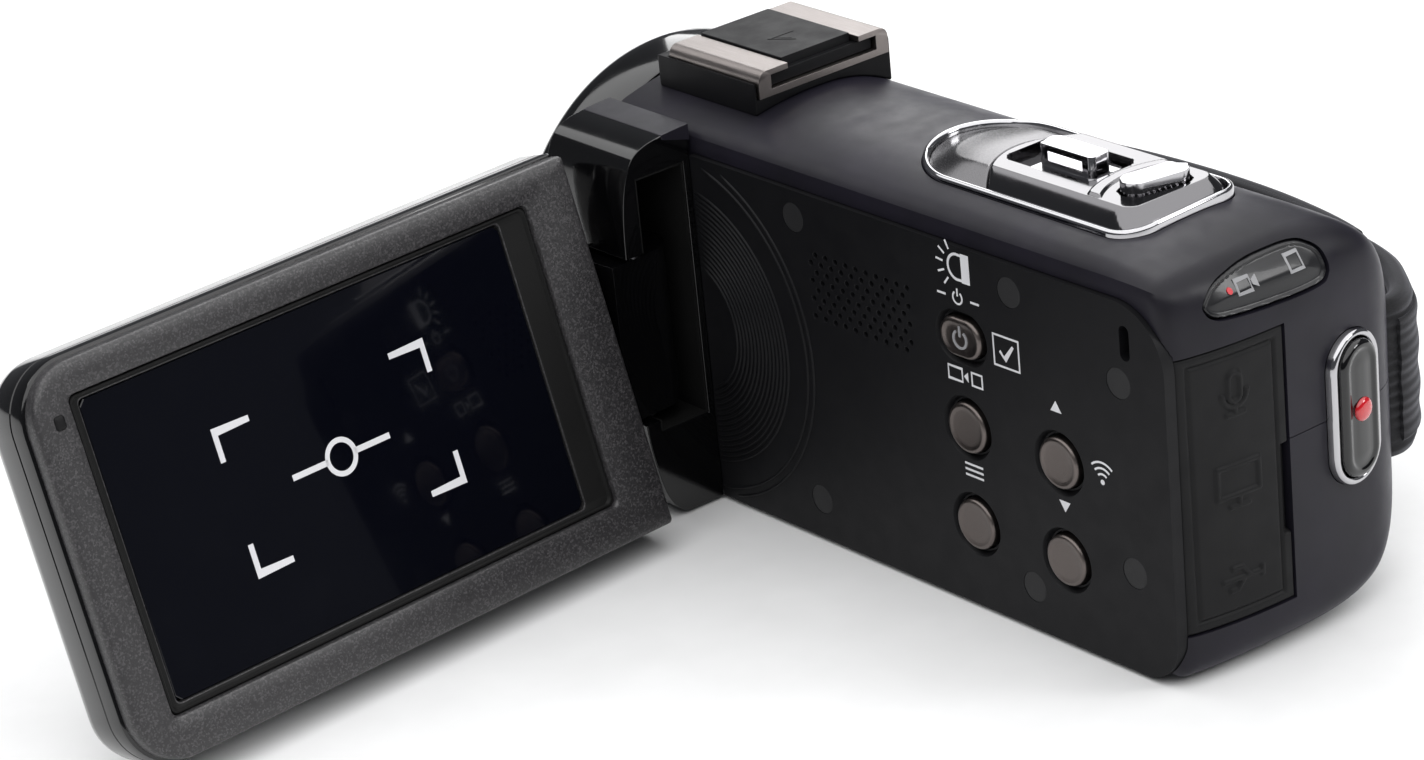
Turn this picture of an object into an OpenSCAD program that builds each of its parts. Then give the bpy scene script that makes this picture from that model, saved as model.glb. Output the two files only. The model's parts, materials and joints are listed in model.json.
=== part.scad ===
// Handheld camcorder with a flip-out screen. The lens looks along -Y, the operator stands at +Y,
// the screen opens to +X and the hand strap is on the -X side. The origin is the mouth of the
// tripod socket in the base. All sizes are in millimetres.

/* [Body] */
// Distance from the tripod axis to the flat control side
side_x = 19; // [18.8:0.1:19.2]
// Height of the crown above the base
crown_z = 57; // [56.6:0.1:57.2]
// Wall thickness of the shells
wall = 1.8; // [1.4:0.1:2]
// Height of the seam between the upper and the lower shell
seam_z = 29; // [28:0.5:30]

/* [Lens] */
// Outer radius of the lens drum
drum_r = 28.6; // [27.5:0.1:28.8]
// Radius of the filter thread, 37 mm across
filter_r = 18.5; // [18:0.25:19]
// Front plane of the trim ring
ring_y = -42.5; // [-44:0.5:-42]

/* [Screen] */
// Angle that the screen is opened from the body in the drawn position
open_angle = 86.2; // [60:0.1:90]
// Backward tilt of the screen in the drawn position
tilt_angle = 16.5; // [0:0.5:20]
// Length of the screen panel from its hinge end to its free end
panel_l = 89.6; // [86:0.1:90]
// Height of the screen panel
panel_h = 53.4; // [50:0.1:53.6]
// Thickness of the screen panel
panel_t = 12.4; // [10:0.1:12.4]
// Width of the visible display window
window_w = 68.2; // [60:0.1:70]
// Height of the visible display window
window_h = 39.9; // [36:0.1:41]

/* [Controls] */
// Diameter of the four round buttons
button_d = 7; // [6:0.1:7.4]
// Travel of the push buttons
press = 0.6; // [0.4:0.1:0.8]
// Sideways clearance of a button in its opening
gap = 0.2; // [0.15:0.05:0.3]

/* [Hidden] */
$fn = 64;
eps = 0.01;
lens_x = 1.5;
lens_z = 28.9;
lamp_r = 24.6;
drum_y0 = -39;
drum_y1 = -27.5;
step_y = -10.5;
side_y1 = 79;
side_z1 = 51.2;
plate_t = 1.8;
plate_x = side_x - plate_t;
cheek_x = 31.3;

// Screen hinge: a vertical pin, and a swivel shaft that crosses it at half height
hinge_x = 26.2;
hinge_y = -16.8;
hinge_z = 27.5;
pin_r = 1.5;
shaft_r = 2.5;
arm_r = 5;
arm_h = 23;
arm_end = 7.2;
panel_start = 7.7;
window_u = 55.2;
bezel_t = 2.4;
fit = 0.05;

// Places of the side buttons, as [y, z]
power_at = [42.3, 38.5];
mode_at = [42.2, 25.9];
menu_at = [42.5, 12.3];
up_at = [59.1, 25.9];
down_at = [59.3, 12.4];
round_buttons = [mode_at, menu_at, up_at, down_at];
power_w = 7.6;
power_h = 5.4;
well_depth = 0.9;
plug_spots = [[10.5, 47.2], [51.9, 47.2], [70.8, 40.1], [11.2, 6.4], [52.9, 6.6], [71.7, 14.5]];
plug_r = 2.1;

// Shoe on the crown
shoe_y0 = -24.6;
shoe_y1 = -3.8;
shoe_w = 24;
shoe_top = 60.4;
slot_w = 18.7;
slot_open = 12.6;
slot_z = 59.2;
slot_h = 2;
lip_t = 0.8;

// Raised control island on the crown
island_x0 = -8;
island_x1 = 12.9;
island_y0 = 23.6;
island_y1 = 68.2;
island_rim = 0.9;
plateau_z = 58.6;
photo_at = [2.1, 61.6];
photo_turn = -11;
zoom_at = [2.4, 47.6];

// Rear face
rear_c = [-3, 11.8];
rear_r = 70;
port_x0 = 0.6;
port_x1 = 17.2;
port_z0 = 7.2;
port_z1 = 44.4;
port_t = 1.4;
record_x = -11;
record_y = 81.35;
record_z = 29.3;
record_turn = 6.8;
record_w = 9.6;
record_h = 21;

// Battery bay in the base
bay_x0 = -3;
bay_x1 = 12;
bay_y0 = 9;
bay_y1 = 68;
door_axis_y = 69.2;
door_axis_z = 1.1;

// Hand strap: height span and the two upright pins that hold it
strap_z0 = 16;
strap_z1 = 38;
front_pin = [-22.8, -11.4];
rear_pin = [-20.9, 74.6];

// Screws in the base and radius of the lens tube behind the drum
screw_spots = [[-8, -16], [12, -16], [-8, 75.2], [7, 75.2]];
barrel_r = 15.5;

// ---- shared outlines ----------------------------------------------------------------------

// Points of an arc round [cx, cy] from angle a0 to angle a1
function arc(cx, cy, r, a0, a1, n) =
    [for (i = [0:n]) [cx + r * cos(a0 + (a1 - a0) * i / n), cy + r * sin(a0 + (a1 - a0) * i / n)]];

// Body section in X and Z, drawn d inside (or, when negative, outside) the surface
module body_section(d) {
    crown_r = 60;
    side_r = 26;
    low_r = 22;
    polygon(concat(
        arc(side_x - 2.5, 2.5, 2.5 - d, -90, 0, 6),
        arc(side_x - 1.3, 53, 1.3 - d, 0, 72, 5),
        arc(0.5, crown_z - crown_r, crown_r - d, 73.5, 88, 8),
        arc(0.5, crown_z - side_r, side_r - d, 90, 180, 26),
        arc(low_r - 25.5, low_r, low_r - d, 180, 270, 22)));
}

// Body outline in X and Y: a slightly bulging rear face with one full corner on the grip side
module body_plan(d) {
    front = -27;
    polygon(concat(
        [[-25.5 + d, front], [side_x - d, front]],
        arc(16.7, 76.57, 2.3 - d, 0, 73.1, 6),
        arc(rear_c[0], rear_c[1], rear_r - d, 75, 98, 10),
        arc(-12.5, 68, 13 - d, 99.6, 180, 16)));
}

// Body outline in Y and Z: round at the top and at the bottom of the rear face
module body_side(d) {
    polygon(concat(
        [[-28, 60], [-28, d]],
        arc(76.1, 6, 6 - d, -90, 0, 8),
        arc(68.1, 43.2, 14 - d, 0, 90, 14),
        [[60, 60]]));
}

module along_y(y0, y1) {
    translate([0, y1, 0]) rotate([90, 0, 0]) linear_extrude(y1 - y0) children();
}

module along_x(x0, x1) {
    translate([x0, 0, 0]) rotate([90, 0, 90]) linear_extrude(x1 - x0) children();
}

module body_solid(d) {
    intersection() {
        along_y(-27, 90) body_section(d);
        translate([0, 0, -1]) linear_extrude(70) body_plan(d);
        along_x(-40, 40) body_side(d);
    }
}

module block(x0, x1, y0, y1, z0, z1) {
    translate([x0, y0, z0]) cube([x1 - x0, y1 - y0, z1 - z0]);
}

// Rectangle with round corners, centred
module round_rect(w, h, r) {
    x = w / 2 - r;
    y = h / 2 - r;
    polygon(concat(arc(x, y, r, 0, 90, 12), arc(-x, y, r, 90, 180, 12),
        arc(-x, -y, r, 180, 270, 12), arc(x, -y, r, 270, 360, 12)));
}

// Slot with round ends, w along the first axis and h along the second
module stadium(w, h) {
    round_rect(w, h, min(w, h) / 2 - 0.02);
}

// Top view of the control island, drawn d inside its edge
module island(d) {
    mid = (island_x0 + island_x1) / 2;
    r = (island_x1 - island_x0) / 2;
    polygon(concat(
        arc(mid, island_y0 + r, r - d, 180, 360, 40),
        arc(mid + r - 5, island_y1 - 5, 5 - d, 0, 90, 10),
        arc(mid - r + 5, island_y1 - 5, 5 - d, 90, 180, 10)));
}

// Frame of the screen: x runs out from the hinge pin, y is the way the screen faces, z is up
module at_screen() {
    translate([hinge_x, hinge_y, hinge_z]) rotate([0, 0, 90 - open_angle]) rotate([tilt_angle, 0, 0])
        children();
}

module at_record() {
    translate([record_x, record_y, record_z]) rotate([0, 0, record_turn]) children();
}

// ---- casing -------------------------------------------------------------------------------

module shell_cuts() {
    body_inner();
    along_x(plate_x - 0.05, 40) side_outline(0);
    translate([0, 0, 52]) linear_extrude(10) island(0.1);
    block(port_x0 - 0.3, port_x1 + 0.3, 74, 90, port_z0 - 0.3, port_z1 + 0.3);
    at_record() translate([0, 3, 0]) rotate([90, 0, 0]) linear_extrude(8)
        stadium(record_w - 1.6, record_h - 1.6);
    at_record() translate([0, 3, 0]) rotate([90, 0, 0]) linear_extrude(4.2)
        stadium(record_w + 0.1, record_h + 0.1);
    along_y(70, 90) window_shape(-0.1);
    at_lens(-30) cylinder(r = barrel_r + 0.1, h = 8);
}

module body_inner() {
    intersection() {
        body_solid(wall);
        block(-40, 40, -25, 90, 0, 80);
    }
}

// Opening of the status window in X and Z
module window_shape(d) {
    polygon([[12.6 - d, 50.2], [10, 52.4 - d], [4, 53.4 - d], [-5, 53.4 - d], [-8 + d, 51.6],
        [-8.6 + d, 48.6], [-7, 46.8 + d], [9.8, 47.6 + d], [11.8 - d, 48.6]]);
}

module upper_shell() color([0.13, 0.13, 0.15]) {
    difference() {
        intersection() {
            body_solid(0);
            block(-40, 40, -28, 90, seam_z + 0.05, 80);
        }
        shell_cuts();
        for (sx = [-1, 1], y = [-20, -8.4]) translate([sx * 6, y, 50]) cylinder(r = 0.8, h = 10);
        strap_slots();
    }
}

module lower_shell() color([0.12, 0.12, 0.14]) {
    difference() {
        union() {
            difference() {
                intersection() {
                    body_solid(0);
                    block(-40, 40, -28, 90, -1, seam_z - 0.05);
                }
                shell_cuts();
            }
            for (x = [bay_x0 - 4, bay_x1 + 0.2]) block(x, x + 3.8, door_axis_y - 3, door_axis_y + 3, 1, 4.5);
            difference() {
                translate([0, 0, 1]) cylinder(r = 6.5, h = 7);
                translate([0, 0, -1]) cylinder(r = 4.95, h = 12);
            }
        }
        block(bay_x0, bay_x1, bay_y0, door_axis_y + 1.3, -1, 2.9);
        translate([bay_x0 - 2.5, door_axis_y, door_axis_z]) rotate([0, 90, 0])
            cylinder(r = 0.75 + fit, h = bay_x1 - bay_x0 + 5);
        translate([0, 0, -1]) cylinder(r = 4.95, h = 12);
        for (p = screw_spots) translate([p[0], p[1], -1])
            cylinder(r = 1.6, h = 9);
        strap_slots();
    }
}

module strap_slots() {
    block(-30, -21.2, -13.6, -9.2, strap_z0 - 0.6, strap_z1 + 0.6);
    block(-30, -19.4, 72.3, 76.9, strap_z0 - 0.6, strap_z1 + 0.6);
    for (p = [front_pin, rear_pin]) translate([p[0], p[1], strap_z0 - 2.6])
        cylinder(r = 1.21, h = strap_z1 - strap_z0 + 5.2);
}

// Flat control side with its wells, speaker grille and latch slot
module side_plate() color([0.13, 0.13, 0.14]) {
    difference() {
        along_x(plate_x, side_x) side_outline(0.1);
        for (p = round_buttons) {
            translate([0, p[0], p[1]]) rotate([0, 90, 0]) cylinder(d = button_d + 2 * gap, h = 40);
            translate([side_x - well_depth, p[0], p[1]]) rotate([0, 90, 0])
                cylinder(d1 = button_d + 0.8, d2 = button_d + 1.8, h = well_depth + eps);
        }
        along_x(plate_x - 1, side_x + 1) translate(power_at) stadium(power_w + 2 * gap, power_h + 2 * gap);
        along_x(side_x - well_depth, side_x + 1) translate(power_at) stadium(power_w + 1.6, power_h + 1.6);
        for (p = plug_spots) translate([side_x - 0.9, p[0], p[1]]) rotate([0, 90, 0])
            cylinder(r = plug_r, h = 2);
        for (row = [0:4], col = [0:8]) translate([plate_x - 1, 14 + 2.15 * col + 0.35 * row, 34.4 + 2 * row])
            rotate([0, 90, 0]) cylinder(r = 0.55, h = 4, $fn = 16);
        block(plate_x - 1, side_x + 1, 71.6, 73, 43.4, 48.2);
    }
}

module side_outline(d) {
    polygon(concat(
        [[step_y + d, side_z1 - d], [step_y + d, 0.5 + d]],
        arc(72.6, 6.5, 6 - d, -90, 0, 8),
        arc(side_y1 - 8.5, side_z1 - 8.5, 8.5 - d, 0, 90, 10)));
}

// Gloss front: the drum round the lens and the cheek that holds the screen hinge
module front_housing() color([0.05, 0.05, 0.06]) {
    difference() {
        union() {
            translate([lens_x, drum_y0, lens_z]) rotate([-90, 0, 0]) rotate_extrude() drum_profile();
            cheek();
        }
        translate([lens_x, drum_y0 - 5, lens_z]) rotate([-90, 0, 0]) cylinder(r = 20.4, h = 7);
        translate([lens_x, drum_y0 + 1.6, lens_z]) rotate([-90, 0, 0]) cylinder(r = 19.9, h = 40);
        translate([lens_x, drum_y0 + 1.9, lens_z]) rotate([-90, 0, 0]) cylinder(r = 26.4, h = 9.7);
        hinge_pocket();
        hinge_pin_shape(0.01);
        translate([lens_x, drum_y0 - 2, lens_z + lamp_r]) rotate([-90, 0, 0]) cylinder(r = 1.6, h = 6);
        for (s = [-1, 1]) translate([lens_x + s * 17.4, drum_y0 - 2, lens_z + 17.4]) rotate([-90, 0, 0])
            cylinder(r = 0.7, h = 6);
    }
}

module drum_profile() {
    polygon(concat([[0, drum_y1 - drum_y0], [0, 0]], arc(drum_r - 2, 2, 2, -90, 0, 8),
        [[drum_r, drum_y1 - drum_y0]]));
}

// Cheek section in X and Z
cheek_outline = [[side_x + 0.02, 0.5], [24.6, 0.5], [26.8, 1.4], [28.6, 4.2], [29.8, 8.6], [30.6, 13],
    [31.1, 20], [31.3, 28], [31.3, 36], [31.2, 43], [30.7, 48], [29.8, 51.4], [28.4, 53.6], [26.2, 54.7],
    [23, 55.2], [side_x + 0.02, 55.4]];

module cheek() {
    difference() {
        along_y(drum_y1 - eps, step_y) polygon(cheek_outline);
        translate([cheek_x, step_y, -1]) rotate([0, 0, 45]) cube([1.5, 1.5, 130], center = true);
    }
}

module hinge_pocket() {
    block(20.1, 28.4, -22.7, 0, 13.5, 50.5);
    block(20.1, 40, -22.7, 0, 15.2, 39.8);
}

// Upright pin of the screen hinge, held in the housing above and below the pocket
module hinge_pin_shape(extra) {
    translate([hinge_x, hinge_y, 9]) cylinder(r = pin_r + extra, h = 43.3);
}

module hinge_pin() color([0.7, 0.7, 0.72]) hinge_pin_shape(0);

// ---- lens ---------------------------------------------------------------------------------

module at_lens(y) {
    translate([lens_x, y, lens_z]) rotate([-90, 0, 0]) children();
}

module lens_barrel() color([0.1, 0.1, 0.1]) {
    at_lens(drum_y0 + 1.7) difference() {
        union() {
            cylinder(r = 19.8, h = 10);
            cylinder(r = barrel_r, h = 32.6);
        }
        translate([0, 0, -1]) cylinder(r = 16.1, h = 6);
        translate([0, 0, -1]) cylinder(r = barrel_r - 1.5, h = 40);
    }
}

module lens_trim_ring() color([0.06, 0.06, 0.07]) {
    at_lens(ring_y) difference() {
        union() {
            cylinder(r = 20.3, h = drum_y0 + 1.6 - ring_y);
            cylinder(r1 = 22.2, r2 = 22.6, h = drum_y0 - ring_y);
        }
        translate([0, 0, -1]) cylinder(r = filter_r, h = 4.5);
        translate([0, 0, 3]) cylinder(r1 = filter_r, r2 = 16.2, h = 2.3);
        cylinder(r = 15.6, h = 20);
    }
}

// Half section of a lens of radius r with a domed front and thickness t at its edge
function lens_half(r, t, front, back) = concat(
    [for (i = [0:8]) [r * i / 8, (front > 0 ? front - sqrt(front * front - pow(r * i / 8, 2)) : 0)]],
    [for (i = [8:-1:0]) [r * i / 8, t + back * (1 - pow(i / 8, 2))]]);

module front_lens() color([0.25, 0.3, 0.4]) {
    at_lens(drum_y0 + 1.75) rotate_extrude($fn = 96) polygon(lens_half(16, 4.8, 44, 0));
}

module rear_lens_group() color([0.4, 0.45, 0.5]) {
    at_lens(-25) rotate_extrude() polygon(lens_half(13.96, 5, 40, 0));
    at_lens(-16) rotate_extrude() polygon(lens_half(13.96, 4.5, 50, 0));
}

module image_sensor() color([0.2, 0.3, 0.25]) {
    block(lens_x - 4, lens_x + 4, -6.5, -4.65, lens_z - 3, lens_z + 3);
}

module sensor_board() color([0.1, 0.35, 0.2]) {
    block(lens_x - 15.5, lens_x + 15.5, -4.6, -3, lens_z - 15.5, lens_z + 15.5);
}

// ---- electronics --------------------------------------------------------------------------

module main_board() color([0.1, 0.35, 0.2]) {
    difference() {
        block(12.6, 14, 6, 73, 6, 47);
        for (y = [9, 70], z = [9, 44]) translate([10, y, z]) rotate([0, 90, 0]) cylinder(r = 1.1, h = 8);
    }
}

module button_board() color([0.1, 0.35, 0.2]) block(14.05, 14.6, 36, 66, 7, 43);

module tact_switches() color([0.75, 0.75, 0.78]) {
    for (p = concat([power_at], round_buttons)) {
        translate([14.6, p[0] - 1.8, p[1] - 1.8]) cube([0.55, 3.6, 3.6]);
        translate([15.1, p[0], p[1]]) rotate([0, 90, 0]) cylinder(r = 0.8, h = 0.25);
    }
}

module speaker() color([0.2, 0.2, 0.2]) {
    translate([14.2, 23.3, 38.4]) rotate([0, 90, 0]) cylinder(r = 6.5, h = 2.2);
    translate([16.4, 23.3, 38.4]) rotate([0, 90, 0]) difference() {
        cylinder(r = 6.5, h = 0.7);
        translate([0, 0, -1]) cylinder(r = 5.4, h = 3);
    }
}

module microphones() color([0.6, 0.6, 0.6]) {
    for (s = [-1, 1]) at_lens(drum_y0 + 2) translate([s * 17.4, -17.4, 0]) cylinder(r = 1.7, h = 2.5);
}

module led_lamp() color([0.95, 0.9, 0.6]) at_lens(drum_y0 + 2) translate([0, -lamp_r, 0]) cylinder(r = 1.5, h = 2);

module lamp_cover() color([0.8, 0.8, 0.8]) at_lens(drum_y0 + 0.4) translate([0, -lamp_r, 0]) cylinder(r = 1.59, h = 1.5);

module mic_socket() color([0.3, 0.3, 0.3]) {
    translate([8.8, 68, 37.6]) rotate([-90, 0, 0]) difference() {
        translate([-3.3, -3.3, 0]) cube([6.6, 6.6, 10.6]);
        translate([0, 0, 2]) cylinder(r = 1.8, h = 10);
    }
}

module hd_socket() color([0.65, 0.65, 0.68]) socket_shell(8.8, 24.8, 3.4, 11.4);

module usb_socket() color([0.65, 0.65, 0.68]) socket_shell(8.8, 12.6, 2.6, 7.8);

// Metal connector shell standing on its narrow end, open to the rear, with a tongue inside
module socket_shell(x, z, w, h) {
    difference() {
        block(x - w / 2, x + w / 2, 70, 78.6, z - h / 2, z + h / 2);
        block(x - w / 2 + 0.4, x + w / 2 - 0.4, 72, 80, z - h / 2 + 0.4, z + h / 2 - 0.4);
    }
    block(x - 0.4, x + 0.4, 71.9, 77.6, z - h / 2 + 1.2, z + h / 2 - 1.2);
}

module battery() color([0.15, 0.15, 0.17]) block(-2.9, 8.1, 11, 65, 3.2, 38.7);

// Open-bottomed tray that holds the battery
module battery_bay() color([0.2, 0.2, 0.21]) {
    difference() {
        block(-4.2, 9.2, 7.9, 66.1, 3.2, 40);
        block(-3.1, 8.3, 10.6, 65.3, 2, 38.8);
        block(0.8, 8.6, 29.8, 38.2, 38, 41);
    }
    block(-4.2, -3.2, 7.9, 64, 1.9, 3.3);
}

module battery_contacts() color([0.8, 0.65, 0.3]) {
    for (x = [1, 3.6, 6.2]) block(x, x + 1.4, 30, 38, 38.8, 40);
}

module card_slot() color([0.7, 0.7, 0.72]) {
    difference() {
        block(10, 12.5, 18, 44, 3.2, 33);
        block(10.4, 12.1, 17, 43.4, 3, 30);
    }
}

module memory_card() color([0.1, 0.15, 0.35]) block(10.5, 12, 18.4, 42.4, 3.2, 29.8);

module tripod_socket() color([0.78, 0.78, 0.8]) {
    difference() {
        cylinder(r = 4.9, h = 8);
        translate([0, 0, -1]) cylinder(r = 3.175, h = 7.5);
    }
}

module flex_cable() color([0.75, 0.5, 0.2]) {
    block(16.2, 16.6, -22, 8, 45, 50);
    block(14, 16.6, 7.6, 8, 45, 46.9);
}

module shell_screws() color([0.35, 0.35, 0.36]) {
    for (p = screw_spots) translate([p[0], p[1], 0]) difference() {
        union() {
            translate([0, 0, 1.2]) cylinder(r = 1.58, h = 0.9);
            translate([0, 0, 2.1]) cylinder(r = 0.9, h = 5);
        }
        translate([0, 0, 1]) linear_extrude(0.7) for (a = [0, 90]) rotate(a) square([2, 0.45], center = true);
    }
}

// ---- side buttons -------------------------------------------------------------------------

module round_button(p) {
    translate([0, p[0], p[1]]) rotate([0, 90, 0]) {
        translate([0, 0, 16.2]) cylinder(d = button_d, h = side_x - 16.2);
        translate([0, 0, side_x]) cylinder(d1 = button_d, d2 = button_d - 0.9, h = 0.45);
        translate([0, 0, 16]) cylinder(d = button_d + 1.2, h = 0.9);
    }
}

module power_button() color([0.5, 0.48, 0.46]) {
    along_x(16.2, side_x + 0.3) translate(power_at) stadium(power_w, power_h);
    along_x(16, 16.9) translate(power_at) stadium(power_w + 1.2, power_h + 1.2);
}

module mode_button() color([0.5, 0.46, 0.43]) round_button(mode_at);

module menu_button() color([0.5, 0.46, 0.43]) round_button(menu_at);

module up_button() color([0.5, 0.46, 0.43]) round_button(up_at);

module down_button() color([0.5, 0.46, 0.43]) round_button(down_at);

module screw_plugs() color([0.17, 0.17, 0.18]) {
    for (p = plug_spots) translate([side_x - 0.9, p[0], p[1]]) rotate([0, 90, 0])
        cylinder(r = plug_r - 0.03, h = 0.85);
}

// ---- accessory shoe -----------------------------------------------------------------------

module shoe_base() color([0.08, 0.08, 0.09]) {
    difference() {
        intersection() {
            block(-shoe_w / 2, shoe_w / 2, shoe_y0, shoe_y1, 48, shoe_top);
            along_y(-40, 0) difference() {
                translate([-20, 30]) square([40, 40]);
                body_section(-0.02);
            }
        }
        block(-11.6, 11.6, shoe_y0 + 2, 10, 58.2, 70);
        for (sx = [-1, 1], y = [-20, -8.4]) translate([sx * 6, y, 50]) cylinder(r = 0.8, h = 10);
    }
}

// Sheet metal rails with the standard 18.6 mm slot
module shoe_plate() color([0.72, 0.68, 0.66]) {
    difference() {
        intersection() {
            block(-11.5, 11.5, shoe_y0 + 2.2, shoe_y1 + 0.4, 58.25, slot_z + slot_h + lip_t);
            along_y(-30, 0) shoe_rail_outline();
        }
        block(-slot_w / 2, slot_w / 2, -21.2, 10, slot_z, slot_z + slot_h);
        block(-slot_open / 2, slot_open / 2, -40, 10, slot_z, 70);
        for (sx = [-1, 1], y = [-20, -8.4]) translate([sx * 6, y, 50]) cylinder(r = 0.8, h = 10);
    }
}

module shoe_rail_outline() {
    top = slot_z + slot_h + lip_t - 1.4;
    polygon(concat([[-11.5, 50], [11.5, 50]], arc(10.1, top, 1.4, 0, 90, 8), arc(-10.1, top, 1.4, 90, 180, 8)));
}

module shoe_screws() color([0.3, 0.3, 0.31]) {
    for (sx = [-1, 1], y = [-20, -8.4]) translate([sx * 6, y, 50.2]) cylinder(r = 0.78, h = 8.95);
}

// Slide-in cover that keeps the slot clean
module shoe_cover() color([0.1, 0.1, 0.11]) {
    block(-9.1, 9.1, -20.9, shoe_y1 - 0.3, slot_z + 0.15, slot_z + slot_h - 0.2);
    block(-6.1, 6.1, -22, shoe_y1 - 1.2, slot_z + 0.3, slot_z + slot_h + lip_t + 0.3);
    block(-9.1, 9.1, shoe_y1 - 1.2, shoe_y1 - 0.3, slot_z + 0.15, slot_z + slot_h - 0.2);
}

// ---- control island -----------------------------------------------------------------------

module island_layer(d, rise, z0) {
    intersection() {
        translate([0, 0, z0]) linear_extrude(12) island(d);
        along_y(0, 90) body_section(-rise);
    }
}

module control_bezel() color([0.8, 0.8, 0.82]) {
    difference() {
        island_layer(0.15, 0.6, 53);
        translate([0, 0, 40]) linear_extrude(30) island(island_rim);
    }
}

// Raised part behind the nose, drawn d inside the edge of the island
module plateau(d) {
    intersection() {
        island(d);
        translate([-20, 37]) square([40, 60]);
    }
}

module control_plate() color([0.42, 0.42, 0.44]) {
    difference() {
        union() {
            island_layer(island_rim + 0.02, 0.35, 53.4);
            island_layer(2.6, 1, 53.4);
            translate([0, 0, 55]) linear_extrude(plateau_z - 0.9 - 55) plateau(2);
            translate([0, 0, 55]) linear_extrude(plateau_z - 55) plateau(2.9);
        }
        translate([zoom_at[0], zoom_at[1] - 1.2, 57]) linear_extrude(6) round_rect(9.6, 14.6, 2);
        translate([zoom_at[0], zoom_at[1], 50]) linear_extrude(9) square([3.2, 9.6], center = true);
        translate([photo_at[0], photo_at[1], 50]) rotate(photo_turn) linear_extrude(12)
            stadium(9.6 + 2 * gap, 4 + 2 * gap);
    }
}

// Thumb lever: a bar on two feet, on a plate that slides in the recess
module zoom_lever() color([0.8, 0.8, 0.82]) {
    difference() {
        translate([zoom_at[0], zoom_at[1], 57.05]) linear_extrude(3.5) round_rect(3.4, 9.8, 0.8);
        translate([zoom_at[0], zoom_at[1], 58.9]) cube([8, 6.2, 1.6], center = true);
    }
    translate([zoom_at[0], zoom_at[1], 57.05]) linear_extrude(0.6) round_rect(7.6, 9.8, 0.8);
    block(zoom_at[0] - 1.3, zoom_at[0] + 1.3, zoom_at[1] - 1.6, zoom_at[1] + 1.6, 52, 57.1);
}

module photo_button() color([0.8, 0.8, 0.82]) {
    translate([photo_at[0], photo_at[1], 0]) rotate(photo_turn) {
        translate([0, 0, 54.2]) linear_extrude(6) stadium(9.6, 4);
        translate([0, 0, 52.2]) cylinder(r = 1.2, h = 2.1);
    }
}

// ---- rear face ----------------------------------------------------------------------------

module status_window() color([0.25, 0.25, 0.28]) {
    intersection() {
        difference() {
            body_solid(0.35);
            body_solid(1.6);
        }
        along_y(70, 90) window_shape(0.05);
    }
}

module record_bezel() color([0.75, 0.75, 0.78]) {
    at_record() translate([0, 0.7, 0]) rotate([90, 0, 0]) difference() {
        linear_extrude(1.8) stadium(record_w, record_h);
        translate([0, 0, -1]) linear_extrude(6) stadium(record_w - 2, record_h - 2);
    }
}

module record_button() color([0.08, 0.08, 0.09]) {
    difference() {
        at_record() translate([0, 1.6, 0]) rotate([90, 0, 0]) {
            linear_extrude(5) stadium(record_w - 2.4, record_h - 2.4);
            translate([0, 0, 3.6]) linear_extrude(1.4) stadium(record_w - 1.9, record_h - 1.9);
        }
        at_record() translate([0, 2, 0]) rotate([90, 0, 0]) cylinder(r = 1.6, h = 1.4);
    }
}

module record_dot() color([0.8, 0.05, 0.08]) {
    at_record() translate([0, 2, 0]) rotate([90, 0, 0]) cylinder(r = 1.58, h = 1.4);
}

module port_cover() color([0.09, 0.09, 0.1]) {
    intersection() {
        difference() {
            body_solid(0.1);
            body_solid(port_t + 0.1);
        }
        block(port_x0, port_x1, 74, 90, port_z0, port_z1);
        union() {
            block(port_x0, 40, 74, 90, 0, 15);
            block(port_x0 + 1.8, 40, 74, 90, 15, 29.4);
            block(port_x0, 40, 74, 90, 29.4, 50);
        }
    }
}

// ---- battery door -------------------------------------------------------------------------

module battery_door() color([0.12, 0.12, 0.14]) {
    w = bay_x1 - bay_x0 - 0.6;
    translate([bay_x0 + 0.3, bay_y0 + 0.3, 0]) cube([w, door_axis_y - bay_y0 - 0.3, 1.5]);
    translate([bay_x0 + 0.3, door_axis_y, door_axis_z]) rotate([0, 90, 0]) cylinder(r = door_axis_z, h = w);
    translate([bay_x0 - 1.9, door_axis_y, door_axis_z]) rotate([0, 90, 0])
        cylinder(r = 0.75, h = bay_x1 - bay_x0 + 3.8);
}

// ---- hand strap ---------------------------------------------------------------------------

// Points along the middle of the strap, in X and Y, from the rear anchor to the front one
strap_mid = [[-22.3, 74.6], [-25, 75], [-28, 73.7], [-31, 70.6], [-34.6, 65], [-37.4, 56], [-39.2, 44],
    [-39.6, 30], [-38.6, 16], [-36.2, 4], [-32.6, -5], [-28.6, -10.4], [-26.4, -11.4], [-24.2, -11.4]];

function normal_at(p, i) =
    let (a = p[max(i - 1, 0)], b = p[min(i + 1, len(p) - 1)], d = b - a)
    [-d[1], d[0]] / norm(d);

function band(p, t0, t1) = concat(
    [for (i = [0:len(p) - 1]) p[i] + normal_at(p, i) * t0],
    [for (i = [len(p) - 1:-1:0]) p[i] + normal_at(p, i) * t1]);

module hand_strap() color([0.1, 0.1, 0.11]) {
    translate([0, 0, strap_z0]) linear_extrude(strap_z1 - strap_z0) polygon(band(strap_mid, -1.6, 1.6));
}

module strap_pad() color([0.12, 0.12, 0.13]) {
    inner = [for (i = [4:10]) strap_mid[i]];
    translate([0, 0, 12.5]) linear_extrude(29) polygon(band(inner, 1.9, 4.4));
}

module strap_anchor(p) {
    translate([p[0], p[1], strap_z0 - 2.4]) cylinder(r = 1.2, h = strap_z1 - strap_z0 + 4.8);
}

module strap_anchor_front() color([0.5, 0.5, 0.52]) strap_anchor(front_pin);

module strap_anchor_rear() color([0.5, 0.5, 0.52]) strap_anchor(rear_pin);

// ---- screen -------------------------------------------------------------------------------

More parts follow.
